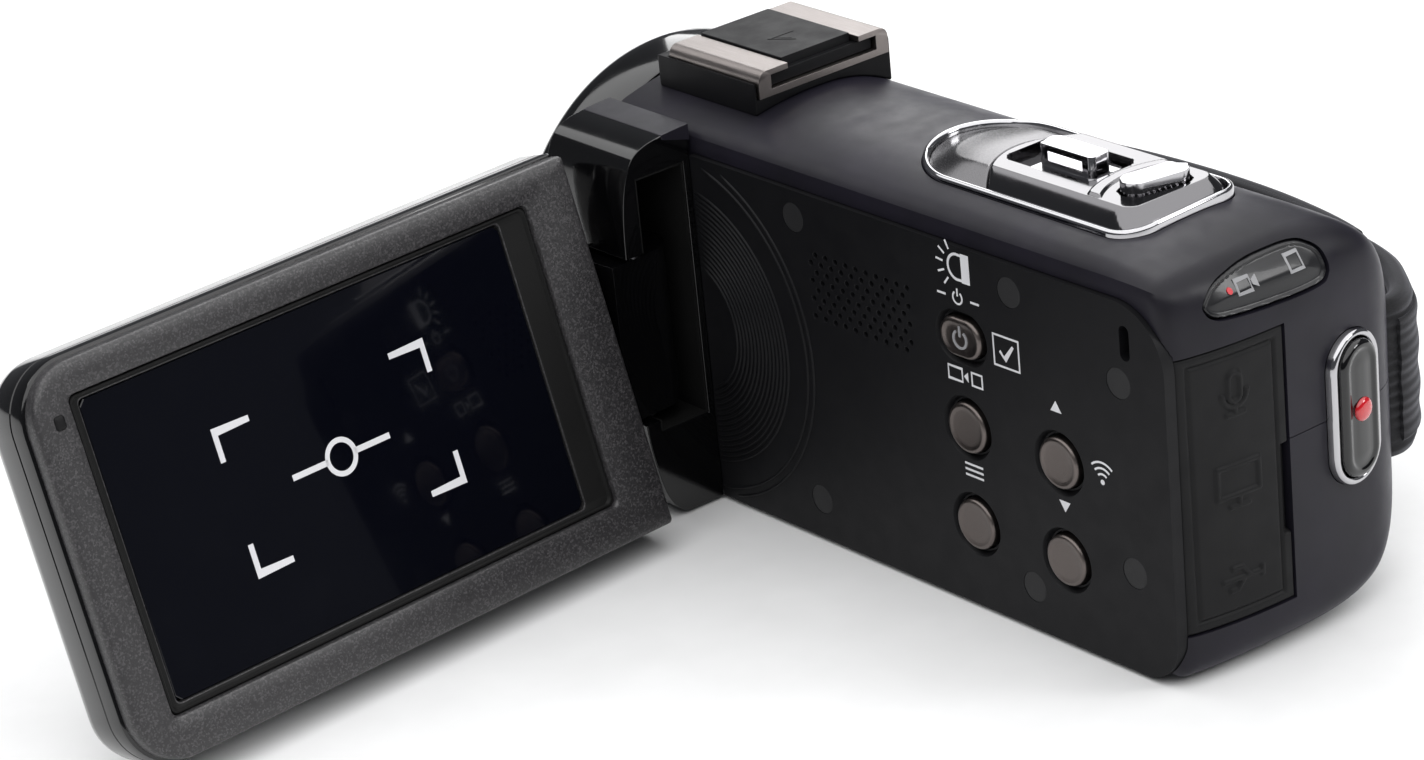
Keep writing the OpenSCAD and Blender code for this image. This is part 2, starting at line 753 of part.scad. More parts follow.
// Block that turns on the hinge pin and carries the swivel shaft
module hinge_block() color([0.06, 0.06, 0.07]) {
    translate([hinge_x, hinge_y, hinge_z]) rotate([0, 0, 90 - open_angle]) difference() {
        union() {
            cylinder(r = arm_r, h = arm_h, center = true);
            translate([0, -arm_r, -arm_h / 2]) cube([arm_end, 2 * arm_r, arm_h]);
        }
        cylinder(r = pin_r + fit, h = arm_h + 1, center = true);
        translate([2.2, 0, 0]) rotate([0, 90, 0]) cylinder(r = shaft_r + fit, h = 10);
    }
}

module swivel_shaft() color([0.7, 0.7, 0.72]) {
    at_screen() {
        translate([2.4, 0, 0]) rotate([0, 90, 0]) cylinder(r = shaft_r, h = 13);
        translate([13.4, 0, 0]) rotate([0, 90, 0]) cylinder(r = 3.6, h = 2);
    }
}

module panel_outline(d) {
    r = 8 - d;
    x1 = panel_start + panel_l - 8;
    z1 = panel_h / 2 - 8;
    polygon(concat([[panel_start + d, z1 + r], [panel_start + d, -z1 - r]],
        arc(x1, -z1, r, -90, 0, 12), arc(x1, z1, r, 0, 90, 12)));
}

// Slab of the panel between two depths along the way the screen faces
module panel_slab(y0, y1, d) {
    translate([0, y1, 0]) rotate([90, 0, 0]) linear_extrude(y1 - y0) panel_outline(d);
}

module window_box(w, h, y0, y1) {
    translate([window_u - w / 2, y0, -h / 2]) cube([w, y1 - y0, h]);
}

module lcd_bezel() color([0.25, 0.25, 0.27]) {
    y1 = panel_t / 2;
    at_screen() difference() {
        panel_slab(y1 - bezel_t, y1, 0.5);
        window_box(window_w, window_h, y1 - 10, y1 + 1);
        window_box(window_w + 3.6, window_h + 3.4, y1 - 0.9, y1 + 1);
        translate([window_u + 38.4, y1 - 1.2, 18.4]) rotate([-90, 0, 0]) cylinder(r = 1.1, h = 3);
    }
}

module lcd_back_cover() color([0.05, 0.05, 0.06]) {
    y0 = -panel_t / 2;
    at_screen() difference() {
        panel_slab(y0, panel_t / 2 - bezel_t, 0);
        panel_slab(y0 + 1.6, 20, 1.5);
        panel_slab(panel_t / 2 - bezel_t - 1.2, 20, 0.7);
        rotate([0, 90, 0]) translate([0, 0, 4]) cylinder(r = shaft_r + fit, h = 8);
    }
}

module lcd_module() color([0.3, 0.3, 0.32]) {
    y1 = panel_t / 2 - bezel_t - 0.05;
    at_screen() window_box(window_w + 2, window_h + 3, y1 - 3.4, y1);
}

module lcd_glass() color([0.05, 0.05, 0.08]) {
    y1 = panel_t / 2 - bezel_t;
    at_screen() window_box(window_w - 0.04, window_h - 0.04, y1, y1 + 1.1);
}

module lcd_peg() color([0.3, 0.3, 0.32]) {
    at_screen() translate([window_u + 38.4, panel_t / 2 - 1.2, 18.4]) rotate([-90, 0, 0])
        cylinder(r = 1.08, h = 1.8);
}

upper_shell();
lower_shell();
side_plate();
front_housing();
lens_barrel();
lens_trim_ring();
front_lens();
rear_lens_group();
image_sensor();
sensor_board();
main_board();
button_board();
tact_switches();
speaker();
microphones();
led_lamp();
lamp_cover();
shoe_base();
shoe_plate();
shoe_screws();
shoe_cover();
control_bezel();
control_plate();
zoom_lever();
photo_button();
status_window();
record_bezel();
record_button();
record_dot();
port_cover();
mic_socket();
hd_socket();
usb_socket();
battery_door();
battery();
battery_contacts();
card_slot();
memory_card();
tripod_socket();
power_button();
mode_button();
menu_button();
up_button();
down_button();
screw_plugs();
shell_screws();
strap_anchor_front();
strap_anchor_rear();
hand_strap();
strap_pad();
hinge_block();
hinge_pin();
swivel_shaft();
lcd_bezel();
lcd_back_cover();
lcd_glass();
lcd_module();
lcd_peg();
battery_bay();
flex_cable();
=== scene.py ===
"""Looks of the camcorder, built round the CAD frame. Lengths are millimetres until a piece is made."""
import bpy
import bmesh
import json
import math
import numpy as np
from mathutils import Matrix, Vector


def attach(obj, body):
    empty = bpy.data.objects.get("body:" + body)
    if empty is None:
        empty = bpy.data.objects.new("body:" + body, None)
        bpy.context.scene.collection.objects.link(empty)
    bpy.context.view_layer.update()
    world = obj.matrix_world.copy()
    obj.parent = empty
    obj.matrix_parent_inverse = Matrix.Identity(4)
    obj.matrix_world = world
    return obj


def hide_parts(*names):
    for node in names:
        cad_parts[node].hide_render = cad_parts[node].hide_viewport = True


MM = 0.001
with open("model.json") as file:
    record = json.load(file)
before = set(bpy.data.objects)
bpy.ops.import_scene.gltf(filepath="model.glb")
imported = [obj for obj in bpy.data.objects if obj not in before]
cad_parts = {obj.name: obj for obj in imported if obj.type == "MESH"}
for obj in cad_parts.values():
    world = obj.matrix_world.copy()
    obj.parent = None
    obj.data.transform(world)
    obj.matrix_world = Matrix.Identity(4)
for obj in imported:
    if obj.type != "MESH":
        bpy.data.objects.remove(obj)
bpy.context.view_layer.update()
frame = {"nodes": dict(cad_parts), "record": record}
NODES = frame["nodes"]


# ---- camera, floor and light ----------------------------------------------------------------

# The photograph's view: a long lens above and behind the control side, leaning a little to one side
CAMERA_AT = (356.1, 433.4, 260.3)
CAMERA_TURN = 142.788
CAMERA_DOWN = 23.496
CAMERA_ROLL = -5.915
CAMERA_LENS = 111.95


def turned(degrees, axis):
    return Matrix.Rotation(math.radians(degrees), 4, axis)


def make_camera():
    data = bpy.data.cameras.new("camera")
    data.sensor_width = 36
    data.lens = CAMERA_LENS
    data.clip_start = 0.01
    data.clip_end = 20
    cam = bpy.data.objects.new("camera", data)
    aim = turned(CAMERA_TURN, "Z") @ turned(90 - CAMERA_DOWN, "X") @ turned(CAMERA_ROLL, "Z")
    cam.matrix_world = Matrix.Translation(Vector(CAMERA_AT) * MM) @ aim
    bpy.context.scene.collection.objects.link(cam)
    bpy.context.scene.camera = cam


def area_light(name, place, target, size, power, tint=(1, 1, 1), size_y=None):
    data = bpy.data.lights.new(name, "AREA")
    data.shape = "RECTANGLE"
    data.size = size
    data.size_y = size_y or size
    data.energy = power
    data.color = tint
    lamp = bpy.data.objects.new(name, data)
    lamp.location = place
    aim = Vector(target) - Vector(place)
    lamp.rotation_euler = aim.to_track_quat("-Z", "Y").to_euler()
    bpy.context.scene.collection.objects.link(lamp)


make_camera()

# ---- materials --------------------------------------------------------------------------------

def shader(name, color, rough, metallic=0.0, coat=0.0, coat_rough=0.03, level=0.5, sheen=0.0,
           sheen_tint=(1, 1, 1), alpha=1.0):
    mat = bpy.data.materials.new(name)
    mat.use_nodes = True
    nodes, links = mat.node_tree.nodes, mat.node_tree.links
    s = nodes["Principled BSDF"]
    s.inputs["Base Color"].default_value = (*color, 1)
    s.inputs["Roughness"].default_value = rough
    s.inputs["Metallic"].default_value = metallic
    s.inputs["Coat Weight"].default_value = coat
    s.inputs["Coat Roughness"].default_value = coat_rough
    s.inputs["Specular IOR Level"].default_value = level
    s.inputs["Sheen Weight"].default_value = sheen
    s.inputs["Sheen Tint"].default_value = (*sheen_tint, 1)
    s.inputs["Alpha"].default_value = alpha
    return mat, nodes, links, s


def coords(nodes, links, stretch=(1, 1, 1)):
    """Object coordinates in millimetres, stretched along the axes."""
    tex = nodes.new("ShaderNodeTexCoord")
    mp = nodes.new("ShaderNodeMapping")
    mp.inputs["Scale"].default_value = tuple(1000 * v for v in stretch)
    links.new(tex.outputs["Object"], mp.inputs["Vector"])
    return mp.outputs["Vector"]


def noise(nodes, links, vector, size, detail=2.0, rough=0.5):
    n = nodes.new("ShaderNodeTexNoise")
    n.inputs["Scale"].default_value = 1.0 / size
    n.inputs["Detail"].default_value = detail
    n.inputs["Roughness"].default_value = rough
    links.new(vector, n.inputs["Vector"])
    return n.outputs["Fac"]


def span(nodes, links, value, low, high, out_low, out_high):
    m = nodes.new("ShaderNodeMapRange")
    m.inputs["From Min"].default_value = low
    m.inputs["From Max"].default_value = high
    m.inputs["To Min"].default_value = out_low
    m.inputs["To Max"].default_value = out_high
    links.new(value, m.inputs["Value"])
    return m.outputs["Result"]


def bump(nodes, links, s, value, height_mm, strength=1.0, previous=None):
    b = nodes.new("ShaderNodeBump")
    b.inputs["Strength"].default_value = strength
    b.inputs["Distance"].default_value = height_mm * MM
    links.new(value, b.inputs["Height"])
    if previous is not None:
        links.new(previous, b.inputs["Normal"])
    links.new(b.outputs["Normal"], s.inputs["Normal"])
    return b.outputs["Normal"]


def tint(nodes, links, s, value, dark, light):
    ramp = nodes.new("ShaderNodeValToRGB")
    ramp.color_ramp.elements[0].color = (*dark, 1)
    ramp.color_ramp.elements[1].color = (*light, 1)
    ramp.color_ramp.elements[0].position = 0.3
    ramp.color_ramp.elements[1].position = 0.7
    links.new(value, ramp.inputs["Fac"])
    links.new(ramp.outputs["Color"], s.inputs["Base Color"])


def moulded(name, dark, light, rough, grain, depth, sheen=0.0, sheen_tint=(1, 1, 1), level=0.5):
    """Moulded plastic or rubber: fine spark-eroded grain, uneven gloss and a little colour drift."""
    mat, n, l, s = shader(name, dark, rough, sheen=sheen, sheen_tint=sheen_tint, level=level)
    c = coords(n, l)
    wide = noise(n, l, c, 14, 3)
    fine = noise(n, l, c, grain, 2, 0.6)
    tint(n, l, s, wide, dark, light)
    l.new(span(n, l, noise(n, l, c, 3.0, 4), 0.3, 0.7, rough - 0.05, rough + 0.05), s.inputs["Roughness"])
    bump(n, l, s, fine, depth)
    return mat


def polished(name, color, rough, coat=1.0, level=0.5):
    """Polished plastic: clear coat over a nearly black body, with faint handling marks."""
    mat, n, l, s = shader(name, color, rough, coat=coat, level=level)
    c = coords(n, l)
    smear = noise(n, l, c, 9, 5, 0.6)
    l.new(span(n, l, smear, 0.35, 0.7, rough, rough + 0.08), s.inputs["Roughness"])
    bump(n, l, s, noise(n, l, c, 18, 1), 0.02, 0.25)
    return mat


def metal(name, color, rough, stretch=(1, 1, 1), size=0.3, depth=0.004, spread=0.08):
    """Metal with a directional or even grain."""
    mat, n, l, s = shader(name, color, rough, metallic=1.0)
    c = coords(n, l, stretch)
    grain = noise(n, l, c, size, 3, 0.6)
    l.new(span(n, l, grain, 0.3, 0.7, rough, rough + spread), s.inputs["Roughness"])
    bump(n, l, s, grain, depth)
    return mat


def spun(name, color, rough, y, z):
    """Turned metal: faint rings round a point of the control side, in y and z."""
    mat, n, l, s = shader(name, color, rough, metallic=1.0)
    c = coords(n, l)
    sub = n.new("ShaderNodeVectorMath")
    sub.operation = "SUBTRACT"
    sub.inputs[1].default_value = (19.4, y, z)
    l.new(c, sub.inputs[0])
    length = n.new("ShaderNodeVectorMath")
    length.operation = "LENGTH"
    l.new(sub.outputs["Vector"], length.inputs[0])
    wave = n.new("ShaderNodeMath")
    wave.operation = "MULTIPLY"
    wave.inputs[1].default_value = 22
    l.new(length.outputs["Value"], wave.inputs[0])
    sine = n.new("ShaderNodeMath")
    sine.operation = "SINE"
    l.new(wave.outputs["Value"], sine.inputs[0])
    bump(n, l, s, sine.outputs["Value"], 0.004, 0.5)
    l.new(span(n, l, noise(n, l, c, 0.5, 2), 0.3, 0.7, rough, rough + 0.1), s.inputs["Roughness"])
    return mat


def sparkle(name, dark, light):
    """Textured plastic with small bright flakes."""
    mat, n, l, s = shader(name, dark, 0.38, level=0.6)
    c = coords(n, l)
    cell = n.new("ShaderNodeTexVoronoi")
    cell.inputs["Scale"].default_value = 1 / 0.22
    l.new(c, cell.inputs["Vector"])
    bw = n.new("ShaderNodeSeparateColor")
    l.new(cell.outputs["Color"], bw.inputs["Color"])
    ramp = n.new("ShaderNodeValToRGB")
    ramp.color_ramp.elements[0].position = 0.55
    ramp.color_ramp.elements[0].color = (*dark, 1)
    ramp.color_ramp.elements[1].position = 1.0
    ramp.color_ramp.elements[1].color = (*light, 1)
    l.new(bw.outputs["Red"], ramp.inputs["Fac"])
    l.new(ramp.outputs["Color"], s.inputs["Base Color"])
    l.new(span(n, l, bw.outputs["Green"], 0, 1, 0.32, 0.5), s.inputs["Roughness"])
    bump(n, l, s, bw.outputs["Blue"], 0.008, 0.6)
    return mat


def woven(name, dark, light, rib):
    """Narrow ribbed webbing: ribs along the band with a fine cross weave."""
    mat, n, l, s = shader(name, dark, 0.85, sheen=0.4, sheen_tint=(0.5, 0.5, 0.55), level=0.25)
    c = coords(n, l)
    sep = n.new("ShaderNodeSeparateXYZ")
    l.new(c, sep.inputs["Vector"])
    mul = n.new("ShaderNodeMath")
    mul.operation = "MULTIPLY"
    mul.inputs[1].default_value = 2 * math.pi / rib
    l.new(sep.outputs["Z"], mul.inputs[0])
    sine = n.new("ShaderNodeMath")
    sine.operation = "SINE"
    l.new(mul.outputs["Value"], sine.inputs[0])
    first = bump(n, l, s, sine.outputs["Value"], 0.12, 0.7)
    fibre = noise(n, l, coords(n, l, (1, 1, 3)), 0.25, 3)
    bump(n, l, s, fibre, 0.08, 0.6, first)
    tint(n, l, s, fibre, dark, light)
    return mat


MAT = {
    "shell_black": moulded("shell_satin", (0.0075, 0.0072, 0.0095), (0.0125, 0.011, 0.0175), 0.38, 0.16,
                           0.006, 0.03, (0.5, 0.45, 0.8), level=0.2),
    "plate_black": moulded("plate_matte", (0.005, 0.005, 0.006), (0.0065, 0.0065, 0.0075), 0.5, 0.2, 0.008,
                           level=0.16),
    "piano_black": polished("piano_black", (0.0015, 0.0015, 0.0018), 0.07, 0.4, 0.4),
    "inner_black": moulded("inner_plastic", (0.004, 0.004, 0.004), (0.006, 0.006, 0.006), 0.6, 0.4, 0.02,
                           level=0.2),
    "sensor_green": polished("sensor_face", (0.03, 0.08, 0.06), 0.15),
    "board_green": moulded("solder_mask", (0.01, 0.09, 0.03), (0.015, 0.13, 0.045), 0.35, 0.8, 0.03),
    "switch_metal": metal("stamped_steel", (0.55, 0.55, 0.57), 0.28),
    "lamp_clear": polished("lamp_lens", (0.5, 0.5, 0.47), 0.1),
    "shoe_steel": metal("brushed_rail", (0.26, 0.235, 0.225), 0.3, (6, 0.15, 1), 0.6, 0.01, 0.14),
    "screw_steel": metal("black_screw", (0.08, 0.08, 0.085), 0.3),
    "bright_trim": metal("mirror_trim", (0.46, 0.455, 0.47), 0.07, (1, 1, 1), 6, 0.004, 0.04),
    "satin_trim": metal("satin_gunmetal", (0.15, 0.147, 0.152), 0.22, (1, 1, 1), 0.14, 0.003, 0.08),
    "button_metal": metal("button_metal", (0.15, 0.13, 0.122), 0.32),
    "smoked_window": polished("smoked_window", (0.005, 0.005, 0.0065), 0.28, 0.12, 0.4),
    "record_red": polished("record_red", (0.5, 0.003, 0.01), 0.12),
    "rubber_black": moulded("soft_rubber", (0.0055, 0.0055, 0.006), (0.0075, 0.0075, 0.008), 0.55, 0.25, 0.01,
                            level=0.18),
    "socket_metal": metal("socket_steel", (0.5, 0.5, 0.52), 0.3),
    "contact_gold": metal("contact_gold", (0.8, 0.55, 0.2), 0.25),
    "card_blue": moulded("card_plastic", (0.01, 0.03, 0.12), (0.012, 0.035, 0.15), 0.4, 0.3, 0.01),
    "webbing_black": woven("webbing", (0.004, 0.004, 0.0045), (0.014, 0.014, 0.015), 1.4),
    "bezel_charcoal": sparkle("bezel_sparkle", (0.019, 0.018, 0.0195), (0.06, 0.057, 0.06)),
    "screen_glass": polished("screen_glass", (0.0015, 0.0018, 0.004), 0.03, 0.3, 0.3),
    "flex_amber": moulded("flex_film", (0.3, 0.12, 0.02), (0.4, 0.18, 0.03), 0.3, 0.5, 0.01),
}
glass_mat, glass_n, glass_l, glass_s = shader("coated_glass", (0.35, 0.4, 0.6), 0.02, coat=1.0, alpha=0.45,
                                              coat_rough=0.02)
MAT["lens_glass"] = glass_mat
tint(glass_n, glass_l, glass_s, noise(glass_n, glass_l, coords(glass_n, glass_l), 12, 1),
     (0.05, 0.03, 0.12), (0.03, 0.1, 0.12))
INK = moulded("white_ink", (0.62, 0.62, 0.64), (0.7, 0.7, 0.72), 0.55, 0.2, 0.004)
INK_GREY = moulded("grey_ink", (0.25, 0.25, 0.26), (0.32, 0.32, 0.33), 0.5, 0.2, 0.004)
INK_RED = moulded("red_ink", (0.5, 0.01, 0.02), (0.6, 0.015, 0.03), 0.4, 0.2, 0.004)
PLUG = moulded("plug_rubber", (0.013, 0.013, 0.014), (0.018, 0.018, 0.019), 0.6, 0.3, 0.02, level=0.3)

SLOT_OF = {part["node"]: part["material_slot"] for part in frame["record"]["subparts"]}

# ---- mesh helpers ----------------------------------------------------------------------------

def arc(cx, cy, r, a0, a1, n):
    t = np.radians(np.linspace(a0, a1, n + 1))
    return np.column_stack([cx + r * np.cos(t), cy + r * np.sin(t)])


def mesh_of(name, verts, faces):
    me = bpy.data.meshes.new(name)
    me.from_pydata([tuple(v) for v in verts], [], faces)
    bm = bmesh.new()
    bm.from_mesh(me)
    bmesh.ops.remove_doubles(bm, verts=bm.verts, dist=1e-5)
    bmesh.ops.recalc_face_normals(bm, faces=bm.faces)
    bm.to_mesh(me)
    bm.free()
    return me


def solid(name, verts, faces):
    """A mesh object in millimetres, not yet a piece."""
    ob = bpy.data.objects.new(name, mesh_of(name, verts, faces))
    bpy.context.scene.collection.objects.link(ob)
    return ob


def block(low, high, name="cut"):
    x0, y0, z0 = low
    x1, y1, z1 = high
    v = [(x, y, z) for x in (x0, x1) for y in (y0, y1) for z in (z0, z1)]
    f = [(0, 1, 3, 2), (4, 6, 7, 5), (0, 4, 5, 1), (2, 3, 7, 6), (0, 2, 6, 4), (1, 5, 7, 3)]
    return solid(name, v, f)


def prism(outline, axis, a, b, name="cut"):
    """Outline in the two axes other than `axis`, in X, Y, Z order, drawn out from a to b."""
    n = len(outline)
    v = []
    for h in (a, b):
        for p, q in outline:
            v.append({"x": (h, p, q), "y": (p, h, q), "z": (p, q, h)}[axis])
    f = [tuple(range(n)), tuple(range(n, 2 * n))]
    f += [(i, (i + 1) % n, n + (i + 1) % n, n + i) for i in range(n)]
    return solid(name, v, f)


def boolean(ob, cutters):
    """Cuts every cutter out of ob and removes the cutters."""
    for c in cutters:
        mod = ob.modifiers.new("bool", "BOOLEAN")
        mod.object = c
        mod.solver = "EXACT"
        mod.operation = "DIFFERENCE"
    bpy.context.view_layer.update()
    me = bpy.data.meshes.new_from_object(ob.evaluated_get(bpy.context.evaluated_depsgraph_get()))
    ob.modifiers.clear()
    ob.data = me
    for c in cutters:
        bpy.data.objects.remove(c)
    return ob


def piece(ob, mat, body, node=None, slot=None, sharp=32, bevel=0.0, segments=2, smooth=True):
    """Turns a millimetre object into a finished piece: metres, material, shading, body."""
    ob.data.transform(Matrix.Scale(MM, 4))
    ob.data.materials.clear()
    ob.data.materials.append(mat)
    for p in ob.data.polygons:
        p.use_smooth = smooth
        p.material_index = 0
    if smooth:
        ob.data.set_sharp_from_angle(angle=math.radians(sharp))
    if bevel:
        soften(ob, bevel, segments, sharp)
    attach(ob, body)
    if node:
        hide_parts(*([node] if isinstance(node, str) else node))
        slot = slot or SLOT_OF[node if isinstance(node, str) else node[0]]
    return ob


def soften(ob, width, segments=2, angle=32):
    mod = ob.modifiers.new("edge", "BEVEL")
    mod.width = width * MM
    mod.segments = segments
    mod.limit_method = "ANGLE"
    mod.angle_limit = math.radians(angle)
    mod.use_clamp_overlap = True
    mod.harden_normals = True


def rings(name, loops, closed=False):
    """Skin over loops of equal length. Closed joins the last to the first, otherwise the ends are filled."""
    n = len(loops[0])
    v = [tuple(p) for loop in loops for p in loop]
    f = []
    count = len(loops)
    for k in range(count if closed else count - 1):
        a, b = k * n, ((k + 1) % count) * n
        f += [(a + i, a + (i + 1) % n, b + (i + 1) % n, b + i) for i in range(n)]
    if not closed:
        for k in (0, count - 1):
            c = len(v)
            v.append(tuple(np.mean(loops[k], axis=0)))
            f += [(k * n + i, k * n + (i + 1) % n, c) for i in range(n)]
    return solid(name, v, f)


def round_rect(w, h, r, n=10):
    x, y = w / 2 - r, h / 2 - r
    return np.vstack([arc(x, y, r, 0, 90, n), arc(-x, y, r, 90, 180, n),
                      arc(-x, -y, r, 180, 270, n), arc(x, -y, r, 270, 360, n)])


def placed(points, h, m):
    """2-D points at height h through a 4x4 matrix."""
    q = np.column_stack([points, np.full(len(points), h), np.ones(len(points))])
    return (q @ np.array(m).T)[:, :3]


def lathe(name, profile, centre_x, centre_z, n=192):
    """Turns a closed profile of (radius, y) points round the axis through centre_x, centre_z along Y."""
    t = np.linspace(0, 2 * math.pi, n, endpoint=False)
    loops = [np.column_stack([centre_x + r * np.cos(t), np.full(n, y), centre_z + r * np.sin(t)])
             for r, y in profile]
    return rings(name, loops, closed=True)


SIDE = np.array([[0, 0, 1, 0], [1, 0, 0, 0], [0, 1, 0, 0], [0, 0, 0, 1]], float)  # u->Y, v->Z, h->X
REAR = np.array([[1, 0, 0, 0], [0, 0, 1, 0], [0, 1, 0, 0], [0, 0, 0, 1]], float)  # u->X, v->Z, h->Y
TOP = np.eye(4)


def shift(x, y, z):
    m = np.eye(4)
    m[:3, 3] = (x, y, z)
    return m


def turn(axis, degrees):
    return np.array(Matrix.Rotation(math.radians(degrees), 4, axis))


HINGE = (26.2, -16.8, 27.5)
SHORT_OF_SQUARE = 3.8  # degrees the arm is short of fully open
PANEL_TILT = 16.5
RECORD_AT = (-11, 81.35, 29.3)
RECORD_TURN = 6.8
ARM = shift(*HINGE) @ turn("Z", SHORT_OF_SQUARE)
SCREEN = ARM @ turn("X", PANEL_TILT)
RECORD = shift(*RECORD_AT) @ turn("Z", RECORD_TURN)

# ---- body shells --------------------------------------------------------------------------------

SEAM = 29.0
SEAM_GAP = 0.06
SIDE_X = 19
PLATE_BACK = 17.2
SKIN_FIT = 0.05
ISLAND = (-8.0, 12.9, 23.6, 68.2)


def section_outline(n=4):
    return np.vstack([
        arc(16.5, 2.5, 2.5, -90, 0, 4 * n), arc(17.7, 53, 1.3, 0, 72, 3 * n),
        arc(0.5, -3, 60, 73.5, 88, 4 * n), arc(0.5, 31, 26, 90, 180, 16 * n),
        arc(-3.5, 22, 22, 180, 270, 14 * n)])


def plan_outline():
    return np.vstack([[[-25.5, -30], [19, -30]], arc(16.7, 76.57, 2.3, 0, 73.1, 16),
                      arc(-3, 11.8, 70, 75, 98, 24), arc(-12.5, 68, 13, 99.6, 180, 40)])


def side_outline():
    return np.vstack([[[-30, 60], [-30, 0]], arc(76.1, 6, 6, -90, 0, 20), arc(68.1, 43.2, 14, 0, 90, 36),
                      [[60, 60]]])


def half_planes(outline):
    p = np.asarray(outline)
    keep = np.linalg.norm(np.roll(p, -1, 0) - p, axis=1) > 1e-6
    p = p[keep]
    d = np.roll(p, -1, 0) - p
    n = np.column_stack([d[:, 1], -d[:, 0]]) / np.linalg.norm(d, axis=1)[:, None]
    return n, (n * p).sum(1)


PLANES = [half_planes(section_outline(3)), half_planes(plan_outline()), half_planes(side_outline())]


def smax(a, b, k):
    h = np.clip(1 - np.abs(a - b) / k, 0, None)
    return np.maximum(a, b) + h * h * k / 4


def body_field(p):
    """Distance-like field of the body, negative inside, edges between the three outlines rounded."""
    pairs = (p[:, [0, 2]], p[:, [0, 1]], p[:, [1, 2]])
    f = [(q @ n.T - c).max(1) for q, (n, c) in zip(pairs, PLANES)]
    return smax(smax(f[0], f[1], 3.0), f[2], 3.0)


def march(origin, direction, reach, steps=60, inset=0.0):
    """Walks from origin + reach * direction back towards origin until the body surface."""
    t = np.full(len(origin), float(reach))
    for _ in range(steps):
        t -= body_field(origin + direction * t[:, None]) + inset
    return origin + direction * t[:, None]


def even(outline, step):
    p = np.vstack([outline, outline[:1]])
    s = np.concatenate([[0], np.cumsum(np.linalg.norm(np.diff(p, axis=0), axis=1))])
    t = np.linspace(0, s[-1], int(s[-1] / step), endpoint=False)
    return np.column_stack([np.interp(t, s, p[:, i]) for i in (0, 1)])


def body_skin(name):
    """The whole body as one closed skin: rays from its long axis, then a fan over the rear."""
    outline = even(section_outline(6), 0.55)
    centre = np.array([-2.0, 27.0])
    ray = outline - centre
    ray /= np.linalg.norm(ray, axis=1)[:, None]
    loops = []
    for y in np.concatenate([np.linspace(-27, 56, 40), np.linspace(57, 62, 6)]):
        o = np.tile([centre[0], y, centre[1]], (len(ray), 1))
        d = np.column_stack([ray[:, 0], np.zeros(len(ray)), ray[:, 1]])
        loops.append(march(o, d, 60, 40))
    for a in np.radians(np.concatenate([np.linspace(3, 70, 50), np.linspace(71, 88, 14)])):
        o = np.tile([centre[0], 62, centre[1]], (len(ray), 1))
        d = np.column_stack([ray[:, 0] * math.cos(a), np.full(len(ray), math.sin(a)),
                             ray[:, 1] * math.cos(a)])
        loops.append(march(o, d, 60, 90))
    return rings(name, loops)


def plate_outline(d=0.0):
    return np.vstack([[[-10.5 + d, 51.2 - d], [-10.5 + d, 0.5 + d]], arc(72.6, 6.5, 6 - d, -90, 0, 12),
                      arc(70.5, 42.7, 8.5 - d, 0, 90, 16)])


def island_outline(d=0.0):
    x0, x1, y0, y1 = ISLAND
    mid, r = (x0 + x1) / 2, (x1 - x0) / 2
    return np.vstack([arc(mid, y0 + r, r - d, 180, 360, 40), arc(mid + r - 5, y1 - 5, 5 - d, 0, 90, 10),
                      arc(mid - r + 5, y1 - 5, 5 - d, 90, 180, 10)])


def window_outline(d=0.0):
    p = np.array([[12.6, 50.2], [10, 52.4], [4, 53.4], [-5, 53.4], [-8, 51.6], [-8.6, 48.6], [-7, 46.8],
                  [9.8, 47.6], [11.8, 48.6]])
    for _ in range(3):
        q = np.roll(p, -1, 0)
        p = np.stack([0.8 * p + 0.2 * q, 0.2 * p + 0.8 * q], 1).reshape(-1, 2)
    c = p.mean(0)
    r = np.linalg.norm(p - c, axis=1)[:, None]
    return c + (p - c) * (r - d) / r


def stadium_solid(m, w, h, a, b):
    o = round_rect(w, h, min(w, h) / 2 - 0.01, 12)
    return rings("cut", [placed(o, a, m), placed(o, b, m)])


def body_cutters(upper):
    """What is cut from the skin for one half: the other half, the plate, the pockets and slots."""
    if upper:
        half = block((-60, -60, -20), (60, 120, SEAM + SEAM_GAP))
    else:
        half = block((-60, -60, SEAM - SEAM_GAP), (60, 120, 90))
    cuts = [half,
            prism(plate_outline(), "x", PLATE_BACK - SKIN_FIT, 40),
            block((0.45, 68.2, 7.05), (17.35, 90, 44.55)),
            stadium_solid(RECORD @ REAR, 9.7, 21.1, -1.2, 3),
            stadium_solid(RECORD @ REAR, 8.0, 19.4, -6, 3),
            block((-30, -13.6, 15.4), (-21.2, -9.2, 38.6)),
            block((-30, 72.3, 15.4), (-19.4, 76.9, 38.6))]
    if upper:
        cuts.append(prism(island_outline(-0.05), "z", 54, 70))
        cuts.append(prism(window_outline(-0.1), "y", 76, 90))
    else:
        cuts.append(block((-3, 9, -5), (12, 70.5, 41)))
        tripod_hole = round_rect(9.9, 9.9, 4.94, 12)
        cuts.append(prism(tripod_hole, "z", -3, 9))
        for x, y in ((-8, -16), (12, -16), (-8, 75.2), (7, 75.2)):
            cuts.append(prism(round_rect(3.2, 3.2, 1.59, 8) + np.array([x, y]), "z", -3, 8))
    return cuts


for half, is_upper in (("upper_shell", True), ("lower_shell", False)):
    skin = boolean(body_skin(half + "_skin"), body_cutters(is_upper))
    piece(skin, MAT["shell_black"], "body", half, sharp=24)

# ---- control side ------------------------------------------------------------------------------

ROUND_KEYS = {"mode_button": (42.2, 25.9), "menu_button": (42.5, 12.3), "up_button": (59.1, 25.9),
              "down_button": (59.3, 12.4)}
POWER = (42.3, 38.5)
PLUGS = ((10.5, 47.2), (51.9, 47.2), (70.8, 40.1), (11.2, 6.4), (52.9, 6.6), (71.7, 14.5))


def circle(r, n=48):
    return arc(0, 0, r, 0, 360 * (n - 1) / n, n - 1)


